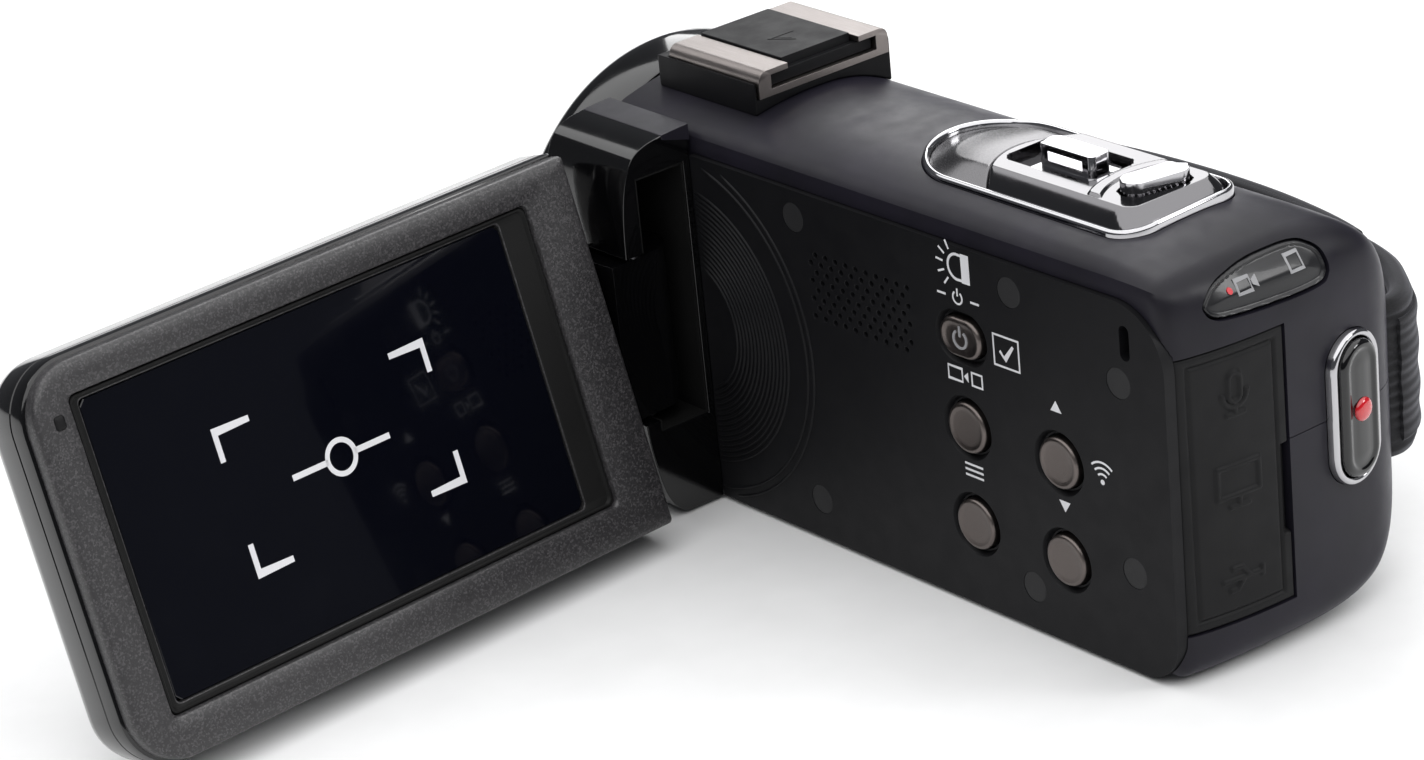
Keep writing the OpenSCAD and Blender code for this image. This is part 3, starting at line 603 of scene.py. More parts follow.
def side_at(y, z):
    return shift(0, y, z) @ SIDE


def join(name, objects):
    """Several millimetre objects as one, not merged."""
    bm = bmesh.new()
    for o in objects:
        bm.from_mesh(o.data)
        bpy.data.objects.remove(o)
    me = bpy.data.meshes.new(name)
    bm.to_mesh(me)
    bm.free()
    ob = bpy.data.objects.new(name, me)
    bpy.context.scene.collection.objects.link(ob)
    return ob


# wells widen towards the face: radius, or half width and half height, then the place in X
ROUND_WELL = ((3.7, 16), (3.7, 18.1), (3.95, 18.1), (4.35, 18.86), (4.55, 19.1))
POWER_WELL = ((4.0, 2.9, 16), (4.0, 2.9, 18.1), (4.35, 3.2, 18.1), (4.7, 3.6, 18.86), (4.9, 3.8, 19.1))
GRILLE_HOLE = ((0.3, 18.3), (0.42, 18.95), (0.6, 19.06))
GRILLE_AT = (13.4, 33.9)
GRILLE_STEP = (2.0, 1.27)
GRILLE_ROWS, GRILLE_COLUMNS = 8, 10
PLUG_R = 2.1
LATCH_AT = (72.3, 45.8)


def side_cutters():
    """Wells of the keys, plug recesses, grille and latch slot."""
    cuts = []
    for y, z in ROUND_KEYS.values():
        cuts.append(rings("cut", [placed(circle(r), x, side_at(y, z)) for r, x in ROUND_WELL]))
    well = [placed(round_rect(2 * w, 2 * h, h - 0.02, 12), x, side_at(*POWER)) for w, h, x in POWER_WELL]
    cuts.append(rings("cut", well))
    for y, z in PLUGS:
        cuts.append(rings("cut", [placed(circle(PLUG_R, 32), x, side_at(y, z)) for x in (18.1, 19.5)]))
    holes = []
    for row in range(GRILLE_ROWS):
        for column in range(GRILLE_COLUMNS):
            y = GRILLE_AT[0] + GRILLE_STEP[0] * column + row % 2
            z = GRILLE_AT[1] + GRILLE_STEP[1] * row
            holes.append(rings("cut", [placed(circle(r, 10), x, side_at(y, z)) for r, x in GRILLE_HOLE]))
    cuts.append(join("grille", holes))
    cuts.append(stadium_solid(side_at(*LATCH_AT), 1.7, 4.7, 16, 20))
    return cuts


plate = boolean(prism(plate_outline(0.1), "x", PLATE_BACK, SIDE_X, "side_plate_skin"), side_cutters())
piece(plate, MAT["plate_black"], "body", "side_plate", sharp=30, bevel=0.12)

RIDGE_CENTRE = (-13.5, 26)
ridges = []
for r in [25.4, 24.2] + [20.2 - 0.76 * k for k in range(15)]:
    top = min(math.degrees(math.acos(3.3 / r)), math.degrees(math.asin(min(1, 23.6 / r))))
    low = -min(math.degrees(math.acos(3.3 / r)), math.degrees(math.asin(min(1, 24.6 / r))))
    t = np.radians(np.linspace(low, top, 72))
    taper = np.clip(np.minimum(t - t[0], t[-1] - t) * r / 1.2, 0.05, 1)
    loops = []
    for off, h in ((-0.24, -0.05), (-0.12, 0.2), (0.0, 0.26), (0.12, 0.2), (0.24, -0.05)):
        y, z = RIDGE_CENTRE[0] + (r + off) * np.cos(t), RIDGE_CENTRE[1] + (r + off) * np.sin(t)
        loops.append(np.column_stack([SIDE_X + h * taper, y, z]))
    strip = [np.array([loop[k] for loop in loops]) for k in range(len(t))]
    ridges.append(rings("ridge", strip))
piece(join("side_ridges", ridges), MAT["plate_black"], "body", slot="plate_black", sharp=60)

KEY_METAL = {name: spun(name + "_metal", (0.135, 0.117, 0.11), 0.28, y, z)
             for name, (y, z) in ROUND_KEYS.items()}
for name, (y, z) in ROUND_KEYS.items():
    m = side_at(y, z)
    levels = [(0, 16), (0, 18.9), (0.1, 19.15), (0.3, 19.3), (0.55, 19.32), (0.75, 19.24), (1.2, 19.2),
              (2.4, 19.16), (3.3, 19.15)]
    key = rings(name + "_cap", [placed(circle(3.5 - d, 64), h, m) for d, h in levels])
    piece(key, KEY_METAL[name], name.replace("button", "key"), name, sharp=50)

power_levels = [(0, 16), (0, 18.9), (0.12, 19.2), (0.35, 19.38), (0.6, 19.38), (0.85, 19.22), (1.3, 19.16),
                (2.0, 19.14)]
loops = [placed(round_rect(7.6 - 2 * d, 5.4 - 2 * d, 2.68 - d, 14), h, side_at(*POWER))
         for d, h in power_levels]
power = rings("power_button_cap", loops)
piece(power, KEY_METAL["mode_button"], "power_key", "power_button", sharp=50)

# ---- printed and raised marks ---------------------------------------------------------------------


def stroke(points, width, m, h0, h1, closed=False):
    """A flat line of the given width along 2-D points, from height h0 to h1."""
    p = np.asarray(points, float)
    prev = np.roll(p, 1, 0) if closed else np.vstack([2 * p[0] - p[1], p[:-1]])
    nxt = np.roll(p, -1, 0) if closed else np.vstack([p[1:], 2 * p[-1] - p[-2]])
    d = (nxt - prev) / np.linalg.norm(nxt - prev, axis=1)[:, None]
    a = (p - prev) / np.linalg.norm(p - prev, axis=1)[:, None]
    normal = np.column_stack([-d[:, 1], d[:, 0]])
    reach = (width / 2 / np.clip((d * a).sum(1), 0.5, 1))[:, None]
    left, right = p + normal * reach, p - normal * reach
    loops = [np.array([placed(q[None], h, m)[0] for q, h in ((lf, h0), (lf, h1), (rt, h1), (rt, h0))])
             for lf, rt in zip(left, right)]
    return rings("mark", loops, closed=closed)


def patch(points, m, h0, h1):
    return rings("mark", [placed(np.asarray(points, float), h, m) for h in (h0, h1)])


def marks(name, parts, mat, body, slot):
    piece(join(name, parts), mat, body, slot=slot, sharp=30)


def side_mark(kind, *args, width=0.32, closed=False, proud=(18.98, 19.03)):
    if kind == "line":
        return stroke(args[0], width, SIDE, *proud, closed=closed)
    return patch(args[0], SIDE, *proud)


def frame_line(y0, z0, y1, z1):
    return side_mark("line", [(y0, z0), (y1, z0), (y1, z1), (y0, z1)], width=0.26, closed=True)


def tri(y, z, size, up):
    k = 1 if up else -1
    return [(y - size, z - k * size * 0.6), (y + size, z - k * size * 0.6), (y, z + k * size * 0.9)]


printed = []
lamp = np.vstack([[[43.3, 50.0]], arc(42.6, 48.3, 1.75, 95, 265, 16), [[43.3, 46.6]]])
printed.append(side_mark("line", lamp, width=0.36))
printed.append(side_mark("fill", [(43.3, 46.3), (44.8, 46.3), (44.8, 50.3), (43.3, 50.3)]))
for a in (118, 146, 174, 202, 230):
    c, q = math.cos(math.radians(a)), math.sin(math.radians(a))
    ray = [(42.3 + r * c, 48.3 + r * q) for r in (2.4, 3.7)]
    printed.append(side_mark("line", ray, width=0.28))
# power: ring with a stroke, between two dashes
printed.append(side_mark("line", arc(42.2, 44.0, 0.85, 125, 415, 16), width=0.26))
printed.append(side_mark("line", [(42.2, 44.2), (42.2, 45.3)], width=0.26))
for y in (38.4, 44.6):
    printed.append(side_mark("line", [(y, 44.0), (y + 1.6, 44.0)], width=0.3))
# confirm: tick in a box
printed.append(frame_line(48.4, 36.6, 53, 40.8))
printed.append(side_mark("line", [(49.5, 38.7), (50.4, 37.7), (52, 39.8)], width=0.4))
# mode: a film frame beside a picture frame
printed.append(frame_line(39.4, 32.3, 42, 34.1))
printed.append(side_mark("fill", [(42.3, 33.2), (43.1, 32.5), (43.1, 33.9)]))
printed.append(frame_line(43.8, 32.3, 45.7, 34.1))
# menu: three bars
for z in (19.2, 20.0, 20.8):
    printed.append(side_mark("line", [(41.2, z), (44.6, z)], width=0.3))
printed.append(side_mark("fill", tri(59.2, 33.6, 1.0, True)))
printed.append(side_mark("fill", tri(59.7, 20.2, 1.0, False)))
# wireless: dot under three bows
printed.append(side_mark("fill", circle(0.36, 16) + np.array([66.9, 25.6])))
for r in (1.1, 1.9, 2.7):
    printed.append(side_mark("line", arc(66.9, 25.6, r, 48, 132, 12), width=0.28))
marks("side_marks", printed, INK, "body", "lamp_clear")

power_mark = [stroke(arc(42.3, 38.35, 1.2, 125, 415, 20), 0.34, SIDE, 19.1, 19.3),
              stroke([(42.3, 38.7), (42.3, 40.2)], 0.34, SIDE, 19.1, 19.3)]
marks("power_symbol", power_mark, INK_GREY, "power_key", "lamp_clear")

# ---- screen ------------------------------------------------------------------------------------

PANEL = SCREEN @ REAR   # u along the panel, v up, h the way the screen faces
P0, P1, PH, PT = 7.7, 97.3, 26.7, 6.2
WIN = (55.2, 0.75, 34.1, 19.95)


def panel_outline(d, n=14):
    r = max(8 - d, 0.3)
    q = max(1.2 - d, 0.12)
    x0, x1, z = P0 + d, P1 - d, PH - d
    return np.vstack([arc(x0 + q, -z + q, q, 180, 270, n), arc(x1 - r, -z + r, r, 270, 360, n),
                      arc(x1 - r, z - r, r, 0, 90, n), arc(x0 + q, z - q, q, 90, 180, n)])


def window_loop(d, n=14):
    cx, cz, w, h = WIN
    w, h, r = w - d, h - d, 0.8
    return np.vstack([arc(cx - w + r, cz - h + r, r, 180, 270, n),
                      arc(cx + w - r, cz - h + r, r, 270, 360, n),
                      arc(cx + w - r, cz + h - r, r, 0, 90, n), arc(cx - w + r, cz + h - r, r, 90, 180, n)])


def recess_loop(dx, dz, n=14):
    cx, cz, _, h = WIN
    x0, x1, z0, z1, r = cx - 38.9 + dx, cx + 35.9 - dx, cz - h - 1.4 + dz, cz + h + 1.2 - dz, 1.0
    return np.vstack([arc(x0 + r, z0 + r, r, 180, 270, n), arc(x1 - r, z0 + r, r, 270, 360, n),
                      arc(x1 - r, z1 - r, r, 0, 90, n), arc(x0 + r, z1 - r, r, 90, 180, n)])


top = PT
bezel = rings("lcd_bezel_skin", [placed(o, h, PANEL) for o, h in (
    (panel_outline(0.5), top - 2.3), (panel_outline(0.5), top - 0.75), (panel_outline(0.62), top - 0.35),
    (panel_outline(0.85), top - 0.1), (panel_outline(1.2), top), (recess_loop(-0.35, -0.35), top),
    (recess_loop(-0.12, -0.12), top - 0.1), (recess_loop(0, 0), top - 0.35),
    (recess_loop(0.1, 0.1), top - 1.0),
    (window_loop(-0.5), top - 1.05), (window_loop(-0.2), top - 1.1), (window_loop(-0.1), top - 1.35),
    (window_loop(-0.1), top - 2.3))], closed=True)
piece(bezel, MAT["bezel_charcoal"], "lcd_panel", "lcd_bezel", sharp=40)
inner = rings("lcd_inner_frame", [placed(o, h, PANEL) for o, h in (
    (recess_loop(0.08, 0.08), top - 0.95), (recess_loop(0.3, 0.3), top - 0.62),
    (recess_loop(0.55, 0.5), top - 0.6),
    (recess_loop(0.8, 0.7), top - 0.95), (window_loop(-0.4), top - 1.0), (window_loop(-0.1), top - 1.28),
    (window_loop(-0.1), top - 1.4), (recess_loop(0.08, 0.08), top - 1.4))], closed=True)
piece(inner, MAT["inner_black"], "lcd_panel", slot="inner_black", sharp=40)
glass = rings("lcd_glass_pane", [placed(window_loop(d, 1), h, PANEL) for d, h in (
    (0.02, top - 2.35), (0.02, top - 1.36), (0.12, top - 1.28))])
piece(glass, MAT["screen_glass"], "lcd_panel", "lcd_glass", smooth=False)
PEG_AT = np.array([93.3, 19.2])
peg_levels = ((0, top - 0.6), (0, top), (0.15, top + 0.2), (0.4, top + 0.28))
loops = [placed(round_rect(1.6 - 2 * d, 1.9 - 2 * d, 0.5 - d, 5) + PEG_AT, h, PANEL) for d, h in peg_levels]
peg = rings("lcd_peg_cap", loops)
piece(peg, MAT["rubber_black"], "lcd_panel", "lcd_peg", sharp=50)

back_levels = [(0.35, 3.85), (0.1, 3.7), (0.0, 3.3), (0.0, 1.3), (0.14, 1.2), (0.14, 1.05), (0.0, 0.95),
               (0.0, -2.6), (0.3, -3.9), (0.9, -4.9), (1.8, -5.6), (3.0, -6.0), (4.6, -6.18), (9, -6.2)]
back = rings("lcd_back_skin", [placed(panel_outline(d), h, PANEL) for d, h in back_levels])
piece(back, MAT["piano_black"], "lcd_panel", "lcd_back_cover", sharp=35)

# focus brackets and a level line shown on the screen
shown = []
cu, cv = WIN[0], WIN[1]
for su in (-1, 1):
    for sv in (-1, 1):
        corner = [(cu + su * u, cv + sv * v) for u, v in ((17, 5.5), (17, 9.5), (11.5, 9.5))]
        shown.append(stroke(corner, 0.8, PANEL, top - 1.30, top - 1.24))
for su in (-1, 1):
    shown.append(stroke([(cu + su * 2.2, cv), (cu + su * 8.0, cv)], 0.8, PANEL, top - 1.30, top - 1.24))
shown.append(stroke(circle(2.2, 40) + np.array([cu, cv]), 0.7, PANEL, top - 1.30, top - 1.24, closed=True))
marks("screen_graphic", shown, INK, "lcd_panel", "lamp_clear")

# ---- control island ------------------------------------------------------------------------------


def signed(outline, p):
    """Distance inside a convex outline, positive inside."""
    n, c = half_planes(outline)
    return -(p @ n.T - c).max(1)


def crown(x):
    return -3 + np.sqrt(3600 - (x - 0.5) ** 2)


def step(v, a, b):
    t = np.clip((v - a) / (b - a), 0, 1)
    return t * t * (3 - 2 * t)


def nose_line(x):
    """Where the nose ends and the plateau begins, in Y."""
    return 37.2 + 0.055 * (x - 2.4) ** 2 - 0.08 * (x - 2.4)


def island_height(x, y):
    p = np.column_stack([x, y])
    d = signed(island_outline(0.0), p)
    base = crown(x)
    rim = base + 0.62 * step(d, 0.0, 0.4) - 1.1 * step(d, 0.75, 1.0)
    nose = base - 0.35 + 1.5 * step(d, 1.0, 4.6) * (0.35 + 0.65 * step(y, 25, 36))
    flat = np.minimum(58.6, base + 2.6)
    plateau = base - 0.3 + (flat - base + 0.3) * np.clip((d - 1.05) / 2.0, 0, 1) ** 0.8
    t = y - nose_line(x)
    z = np.where(t > 0, plateau, nose)
    z = z - 1.2 * np.exp(-(t / 0.28) ** 2) * step(d, 1.4, 2.4)
    z = np.where(d < 1.0, rim, z)
    # recess of the lever
    r = signed(round_rect(9.6, 15.4, 2.0) + np.array([2.4, 46.7]), p)
    z = z - (z - 56.95) * step(r, 0.0, 0.25)
    # crescent between the recess and the button
    arc_d = np.abs(np.hypot(x - 2.0, y - 68.5) - 12.6)
    z = z + 0.28 * (1 - step(arc_d, 0.75, 1.0)) * step(d, 3.2, 4.0) * (t > 4) * (r < -0.2)
    # opening round the photo button
    c, q = math.cos(math.radians(-11)), math.sin(math.radians(-11))
    bx, by = x - 2.1, y - 61.6
    u, v = c * bx + q * by, -q * bx + c * by
    b = signed(round_rect(10.2, 4.6, 2.28), np.column_stack([u, v]))
    return z - 1.6 * step(b, 0.0, 0.15), d, t


def grid(a0, a1, b0, b1, pitch):
    """Evenly spaced points over a rectangle, as two flat arrays and their counts."""
    shape = (int((a1 - a0) / pitch) + 1, int((b1 - b0) / pitch) + 1)
    a, b = np.meshgrid(np.linspace(a0, a1, shape[0]), np.linspace(b0, b1, shape[1]), indexing="ij")
    return a.ravel(), b.ravel(), shape


def thick_sheet(name, points, shape, good, sink):
    """A closed sheet over the good points of a grid, thickened by the vector sink."""
    ni, nj = shape
    good = good.reshape(shape)
    faces = [(i * nj + j, (i + 1) * nj + j, (i + 1) * nj + j + 1, i * nj + j + 1)
             for i in range(ni - 1) for j in range(nj - 1) if good[i:i + 2, j:j + 2].all()]
    me = bpy.data.meshes.new(name)
    me.from_pydata(points.tolist(), [], faces)
    bm = bmesh.new()
    bm.from_mesh(me)
    bmesh.ops.delete(bm, geom=[v for v in bm.verts if not v.link_faces], context="VERTS")
    lid = bmesh.ops.extrude_face_region(bm, geom=bm.faces[:])
    for v in lid["geom"]:
        if isinstance(v, bmesh.types.BMVert):
            v.co += Vector(sink)
    bmesh.ops.recalc_face_normals(bm, faces=bm.faces)
    bm.to_mesh(me)
    bm.free()
    ob = bpy.data.objects.new(name, me)
    bpy.context.scene.collection.objects.link(ob)
    return ob


def height_piece(name, x0, x1, y0, y1, pitch, keep, mat, node=None, slot=None):
    """Part of the island's surface, where keep(distance inside the rim, distance past the nose) holds."""
    x, y, shape = grid(x0, x1, y0, y1, pitch)
    z, d, t = island_height(x, y)
    sheet = thick_sheet(name, np.column_stack([x, y, z]), shape, keep(d, t), (0, 0, -1.2))
    return piece(sheet, mat, "body", node, slot, sharp=60)


rim_loops = [np.column_stack([o, crown(o[:, 0]) + h]) for o, h in (
    (island_outline(0.1), -2.0), (island_outline(0.1), 0.25), (island_outline(0.2), 0.5),
    (island_outline(0.45), 0.62),
    (island_outline(0.75), 0.55), (island_outline(0.95), 0.2), (island_outline(0.98), -2.0))]
piece(rings("control_rim", rim_loops, closed=True), MAT["bright_trim"], "body", "control_bezel", sharp=50)
height_piece("control_nose", -8, 13, 23.6, 46, 0.16, lambda d, t: (d > 0.98) & (t < 0.16), MAT["satin_trim"],
             "control_plate")
SMOKED_CHROME = metal("smoked_chrome", (0.16, 0.157, 0.163), 0.08, (1, 1, 1), 4, 0.003, 0.04)
height_piece("control_plateau", -8, 13, 34, 68.4, 0.16, lambda d, t: (d > 0.98) & (t > -0.16), SMOKED_CHROME,
             slot="bright_trim")

# ---- rear face -------------------------------------------------------------------------------------


def rear_surface(x, z, inset):
    o = np.column_stack([x, np.full(len(x), 40.0), z])
    d = np.tile([0.0, 1.0, 0.0], (len(x), 1))
    return march(o, d, 60, 70, inset)


def rear_sheet(name, x0, x1, z0, z1, pitch, inset, depth, keep, mat, body, node):
    """A sheet that follows the rear of the body, pushed in by depth(x, z)."""
    x, z, shape = grid(x0, x1, z0, z1, pitch)
    p = rear_surface(x, z, inset)
    p[:, 1] -= depth(x, z)
    return piece(thick_sheet(name, p, shape, keep(x, z), (0, -1.0, 0)), mat, body, node, sharp=60)


def segment_distance(p, a, b):
    a, b = np.array(a), np.array(b)
    t = np.clip(((p - a) @ (b - a)) / max(((b - a) ** 2).sum(), 1e-9), 0, 1)
    return np.linalg.norm(p - a - t[:, None] * (b - a), axis=1)


def cover_icons(p):
    """Distance to the three pictograms on the port cover: a microphone, a screen and a trident."""
    lines = []
    cx = 8.9
    d = np.full(len(p), 99.0)
    mic = p - np.array([cx, 38.4])
    capsule = np.hypot(mic[:, 0], mic[:, 1] - np.clip(mic[:, 1], -0.6, 1.4))
    d = np.minimum(d, np.abs(capsule - 0.9))
    bow = np.where(mic[:, 1] < -0.3, np.abs(np.hypot(mic[:, 0], mic[:, 1] + 0.3) - 1.9), 99)
    d = np.minimum(d, bow)
    lines += [((cx, 36.2), (cx, 35.2)), ((cx - 1.3, 35.2), (cx + 1.3, 35.2))]
    x0, x1, z0, z1 = cx - 3.2, cx + 3.2, 24.4, 28.4
    lines += [((x0, z0), (x1, z0)), ((x1, z0), (x1, z1)), ((x1, z1), (x0, z1)), ((x0, z1), (x0, z0)),
              ((cx - 1.4, 22.9), (cx + 1.4, 22.9)), ((cx, 22.9), (cx, z0))]
    lines += [((cx - 3, 13), (cx + 3, 13)), ((cx - 1.2, 13), (cx + 0.2, 14.5)),
              ((cx + 0.2, 14.5), (cx + 1.6, 14.5)),
              ((cx - 0.2, 13), (cx + 1.0, 11.6)), ((cx + 1.0, 11.6), (cx + 2.0, 11.6)),
              ((cx - 3, 13.5), (cx - 3, 12.5))]
    for a, b in lines:
        d = np.minimum(d, segment_distance(p, a, b))
    return d


def port_depth(x, z):
    p = np.column_stack([x, z])
    edge = np.minimum(np.minimum(x - 0.6, 17.2 - x), np.minimum(z - 7.2, 44.4 - z))
    deep = 0.45 * (1 - np.sqrt(1 - (1 - np.clip(edge / 0.5, 0, 1)) ** 2))
    inner = np.minimum(np.minimum(x - 2.4, 15.5 - x), np.minimum(z - 8.7, 43.0 - z))
    deep = deep + 0.3 * np.exp(-(inner / 0.22) ** 2)
    notch = np.minimum(1.9 - x, np.minimum(z - 16.4, 28.6 - z))
    deep = deep + 0.9 * step(notch, -0.2, 0.3)
    return deep - 0.3 * (1 - step(cover_icons(p), 0.2, 0.42))


rear_sheet("port_cover_skin", 0.6, 17.2, 7.2, 44.4, 0.18, 0.1, port_depth, lambda x, z: x > -99,
           MAT["rubber_black"], "port_lid", "port_cover")

WINDOW = window_outline(0.0)
window_ccw = WINDOW if np.cross(WINDOW[1] - WINDOW[0], WINDOW[2] - WINDOW[1]) > 0 else WINDOW[::-1]


def window_depth(x, z):
    d = signed(window_ccw, np.column_stack([x, z]))
    return 0.1 + 0.5 * (1 - step(d, 0.05, 0.45)) + 0.35 * step(d, 0.5, 0.8) - 0.3 * step(d, 0.9, 3.5)


rear_sheet("status_window_pane", -8.7, 12.7, 46.7, 53.5, 0.16, 0.05, window_depth,
           lambda x, z: signed(window_ccw, np.column_stack([x, z])) > 0.02, MAT["smoked_window"], "body",
           "status_window")


def on_window(mark):
    """Lay a flat mark, drawn in X and Z, on the window pane."""
    co = np.array([v.co[:] for v in mark.data.vertices])
    y = rear_surface(co[:, 0], co[:, 2], 0.05)[:, 1] - window_depth(co[:, 0], co[:, 2])
    for v, h in zip(mark.data.vertices, y):
        v.co.y += h
    return mark


screen_icon = [(-4.6, 50.0), (-2.4, 50.0), (-2.4, 51.9), (-4.6, 51.9)]
camera_icon = [(4.2, 49.9), (6.4, 49.9), (6.4, 51.5), (4.2, 51.5)]
shown = [on_window(stroke(screen_icon, 0.32, REAR, -0.1, 0.16, closed=True)),
         on_window(stroke(camera_icon, 0.32, REAR, -0.1, 0.16, closed=True)),
         on_window(patch([(3.1, 50.0), (4.0, 50.5), (4.0, 51.0), (3.1, 51.4)], REAR, -0.1, 0.16))]
marks("window_icons", shown, INK_GREY, "body", "lamp_clear")
window_lamp = on_window(patch(circle(0.4, 16) + np.array([7.6, 50.7]), REAR, -0.1, 0.14))
marks("window_lamp", [window_lamp], INK_RED, "body", "record_red")

rec = RECORD @ REAR
bezel_levels = [(0.05, -1.1), (0.05, 0.2), (0.2, 0.5), (0.5, 0.68), (0.85, 0.62), (1.05, 0.3), (1.15, -0.4),
                (1.15, -1.1)]
loops = [placed(round_rect(9.6 - 2 * d, 21 - 2 * d, 4.78 - d, 16), h, rec) for d, h in bezel_levels]
piece(rings("record_rim", loops, closed=True), MAT["bright_trim"], "body", "record_bezel", sharp=50)
button_levels = [(0, -3.4), (0, 0.7), (0.12, 1.05), (0.4, 1.3), (0.8, 1.42), (1.1, 1.36), (1.3, 1.22),
                 (1.7, 1.18), (2.4, 1.3), (3.3, 1.34)]
loops = [placed(round_rect(7.2 - 2 * d, 18.6 - 2 * d, 3.58 - d, 16), h, rec) for d, h in button_levels]
piece(rings("record_cap", loops), MAT["piano_black"], "record_key", "record_button", sharp=50)
dot_levels = ((1.58, 0.6), (1.58, 1.5), (1.4, 1.72), (1.0, 1.9), (0.4, 1.98))
loops = [placed(circle(r, 40), h, rec) for r, h in dot_levels]
piece(rings("record_dot_cap", loops), MAT["record_red"], "record_key", "record_dot", sharp=50)

# ---- front: drum, trim ring, cheek ------------------------------------------------------------------

LX, LZ = 1.5, 28.9
drum_profile = [(20.5, -37.4), (20.5, -39), (22.8, -39), (26.2, -38.98), (27.4, -38.6), (28.2, -37.8),
                (28.55, -36.8), (28.6, -35.5), (28.6, -28.1), (28.5, -27.8), (28.2, -27.6), (20.5, -27.6),
                (20.5, -30)]
drum = lathe("lens_drum", drum_profile, LX, LZ)
piece(drum, MAT["piano_black"], "body", "front_housing", sharp=30)
thread = []
for k in range(7):
    thread += [(18.5, -42.3 + 0.5 * k), (18.95, -42.05 + 0.5 * k)]
ring_profile = [(22.6, -38.9), (22.35, -41.6), (22.1, -42.25), (21.6, -42.5), (19.2, -42.5)] + thread
ring_profile += [(18.4, -38.7), (16.3, -37.4), (16.3, -37.0), (22.0, -37.0)]
ring = lathe("lens_ring", ring_profile, LX, LZ)
piece(ring, MAT["piano_black"], "body", "lens_trim_ring", sharp=28)


def spline(p, n):
    """Points of a smooth curve through all of p but its first and last, which only steer it."""
    out = []
    for a, b, c, d in zip(p, p[1:], p[2:], p[3:]):
        for t in np.linspace(0, 1, n, endpoint=False):
            out.append(0.5 * (2 * b + (c - a) * t + (2 * a - 5 * b + 4 * c - d) * t * t
                              + (3 * b - a - 3 * c + d) * t ** 3))
    return out


def cheek_outline(n=10):
    knots = np.array([[19.02, 0.5], [24.6, 0.5], [26.8, 1.4], [28.6, 4.2], [29.8, 8.6], [30.6, 13],
                      [31.1, 20], [31.3, 28], [31.3, 36], [31.2, 43], [30.7, 48], [29.8, 51.4],
                      [28.4, 53.6], [26.2, 54.7], [23, 55.2], [19.02, 55.4]])
    return np.array([knots[0]] + spline(knots, n) + [knots[-2], knots[-1]])


cheek = prism(cheek_outline(), "y", -27.5, -10.5, "hinge_cheek")
pocket = block((20.1, -22.7, 13.5), (28.4, 0, 50.5))
mouth = block((20.1, -22.7, 15.2), (40, 0, 39.8))
cheek = boolean(cheek, [pocket, mouth])
piece(cheek, MAT["piano_black"], "body", slot="piano_black", sharp=30, bevel=0.45, segments=3)
lining = boolean(block((20.12, -22.68, 13.52), (28.38, -10.7, 50.48), "pocket_lining"),
                 [block((20.4, -22.4, 13.8), (28.1, 0, 50.2)), block((27, -22.4, 15.2), (40, 0, 39.8))])
piece(lining, MAT["inner_black"], "body", slot="inner_black", sharp=30)
# satin skin that runs from the crown over the cheek
over = [np.column_stack([o[:, 0], np.full(len(o), y), o[:, 1]]) for y, o in (
    (-27.4, np.array([[18.6, 53.2], [18.6, 55.55], [21, 55.42], [23.4, 55.25], [23.4, 54.6]])),
    (-10.45, np.array([[18.6, 53.2], [18.6, 55.55], [21, 55.42], [23.4, 55.25], [23.4, 54.6]])))]
piece(rings("cheek_cover", over), MAT["shell_black"], "body", slot="shell_black", sharp=30, bevel=0.15)

# ---- strap ----------------------------------------------------------------------------------------

STRAP = np.array([[-22.3, 74.6], [-25, 75], [-28, 73.7], [-31, 70.6], [-34.6, 65], [-37.4, 56],
                  [-39.2, 44], [-39.6, 30], [-38.6, 16], [-36.2, 4], [-32.6, -5], [-28.6, -10.4],
                  [-26.4, -11.4], [-24.2, -11.4]])


def smooth_path(points, n=8):
    p = np.vstack([2 * points[0] - points[1], points, 2 * points[-1] - points[-2]])
    return np.array(spline(p, n) + [points[-1]])


def along(path):
    d = np.gradient(path, axis=0)
    d /= np.linalg.norm(d, axis=1)[:, None]
    return np.column_stack([-d[:, 1], d[:, 0]])


def belt(name, path, t0, t1, z0, z1, mat, node=None, slot=None, ribs=0):
    """A band along a plan path, from offset t0 to t1 and height z0 to z1, with rolled edges and ribs."""
    normal = along(path)
    rows = 60
    z = np.linspace(z0, z1, rows)
    edge = np.clip(np.minimum(z - z0, z1 - z) / 0.8, 0, 1) ** 0.5
    wave = 0.12 * np.cos((z - z0) / (z1 - z0) * 2 * math.pi * ribs) if ribs else np.zeros(rows)
    mid, half = (t0 + t1) / 2, (t1 - t0) / 2
    reach = half * (0.35 + 0.65 * edge) + wave * edge
    offs = np.concatenate([mid - reach, (mid + reach)[::-1]])
    zz = np.concatenate([z, z[::-1]])
    loops = [np.column_stack([p[0] + n[0] * offs, p[1] + n[1] * offs, zz]) for p, n in zip(path, normal)]
    return piece(rings(name, loops), mat, "body", node, slot, sharp=60)


path = smooth_path(STRAP)
belt("strap_band", path, -1.5, 1.5, 16, 38, MAT["webbing_black"], "hand_strap", ribs=14)
belt("strap_tape", path[6:-12], -2.1, -1.55, 18.5, 35.5, MAT["webbing_black"], slot="webbing_black", ribs=3)
pad = belt("strap_pad_cushion", path[34:76], 1.95, 4.4, 12.6, 41.4, MAT["webbing_black"], "strap_pad", ribs=2)

# ---- carried-over nodes -------------------------------------------------------------------------

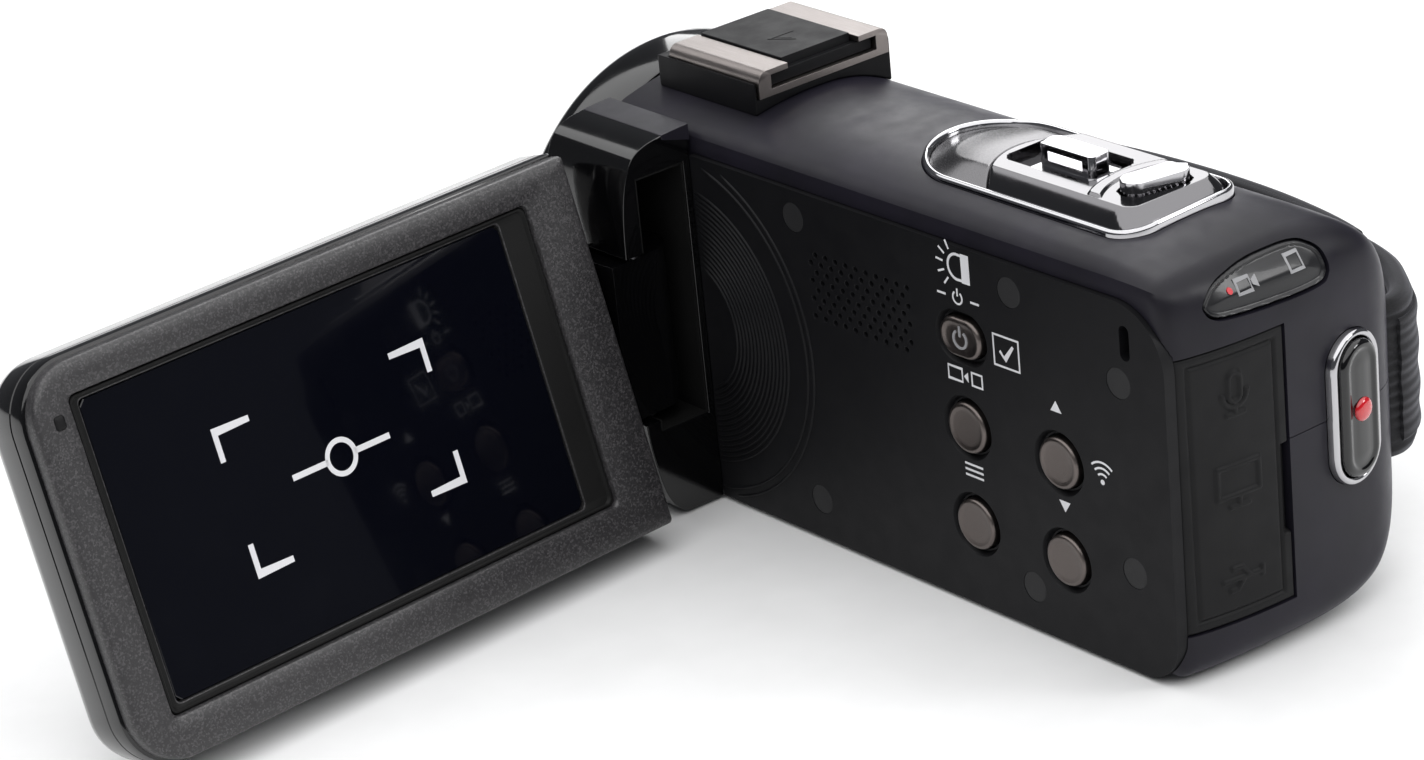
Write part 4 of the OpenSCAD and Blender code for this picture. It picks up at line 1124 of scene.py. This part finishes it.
SOFT_EDGE = {
    "shoe_base": 0.4, "shoe_plate": 0.3, "shoe_cover": 0.25, "zoom_lever": 0.35, "photo_button": 0.35,
    "hinge_block": 0.5, "battery_door": 0.3, "screw_plugs": 0.15, "battery": 0.6, "swivel_shaft": 0.2,
}
for name, node in NODES.items():
    if node.get("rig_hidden") or node.hide_render:
        continue
    data = node.data
    data.materials.clear()
    data.materials.append(PLUG if name == "screw_plugs" else MAT[SLOT_OF[name]])
    for p in data.polygons:
        p.use_smooth = True
        p.material_index = 0
    weld = node.modifiers.new("weld", "WELD")
    weld.merge_threshold = 2e-6
    if name in SOFT_EDGE:
        soften(node, SOFT_EDGE[name])
    flat = node.modifiers.new("flat", "WEIGHTED_NORMAL")
    flat.keep_sharp = False
    flat.weight = 80

arrow = [stroke([(-2.2, -12.0), (2.2, -12.0), (0, -9.2)], 0.3, TOP, 62.2, 62.36, closed=True),
         patch([(-1.3, -11.6), (1.3, -11.6), (0, -9.9)], TOP, 62.2, 62.34)]
marks("shoe_arrow", arrow, MAT["plate_black"], "shoe_lid", "plate_black")

# ---- stage --------------------------------------------------------------------------------------

FLOOR_REACH = 4000
FLOOR_Z = -0.05
corners = [(FLOOR_REACH * x, FLOOR_REACH * y, FLOOR_Z) for x, y in ((-1, -1), (1, -1), (1, 1), (-1, 1))]
floor = solid("floor", corners, [(0, 1, 2, 3)])
floor.data.transform(Matrix.Scale(MM, 4))
floor.data.materials.append(moulded("floor_paint", (0.8, 0.8, 0.8), (0.84, 0.84, 0.84), 0.6, 3, 0.01))

world = bpy.data.worlds.new("studio")
world.use_nodes = True
world.node_tree.nodes["Background"].inputs["Color"].default_value = (0.9, 0.93, 1, 1)
world.node_tree.nodes["Background"].inputs["Strength"].default_value = 0.12
bpy.context.scene.world = world
bpy.context.scene.view_settings.view_transform = "Standard"
area_light("overhead", (0.1, 0.2, 1.5), (0.05, 0.1, 0), 4.0, 96)
area_light("far_strip", (-0.9, -0.9, 0.8), (0, 0, 0.03), 0.5, 5, (1, 1, 1), 0.9)
area_light("strap_side", (-0.7, 0.9, 0.6), (0, 0.05, 0.03), 0.3, 3)
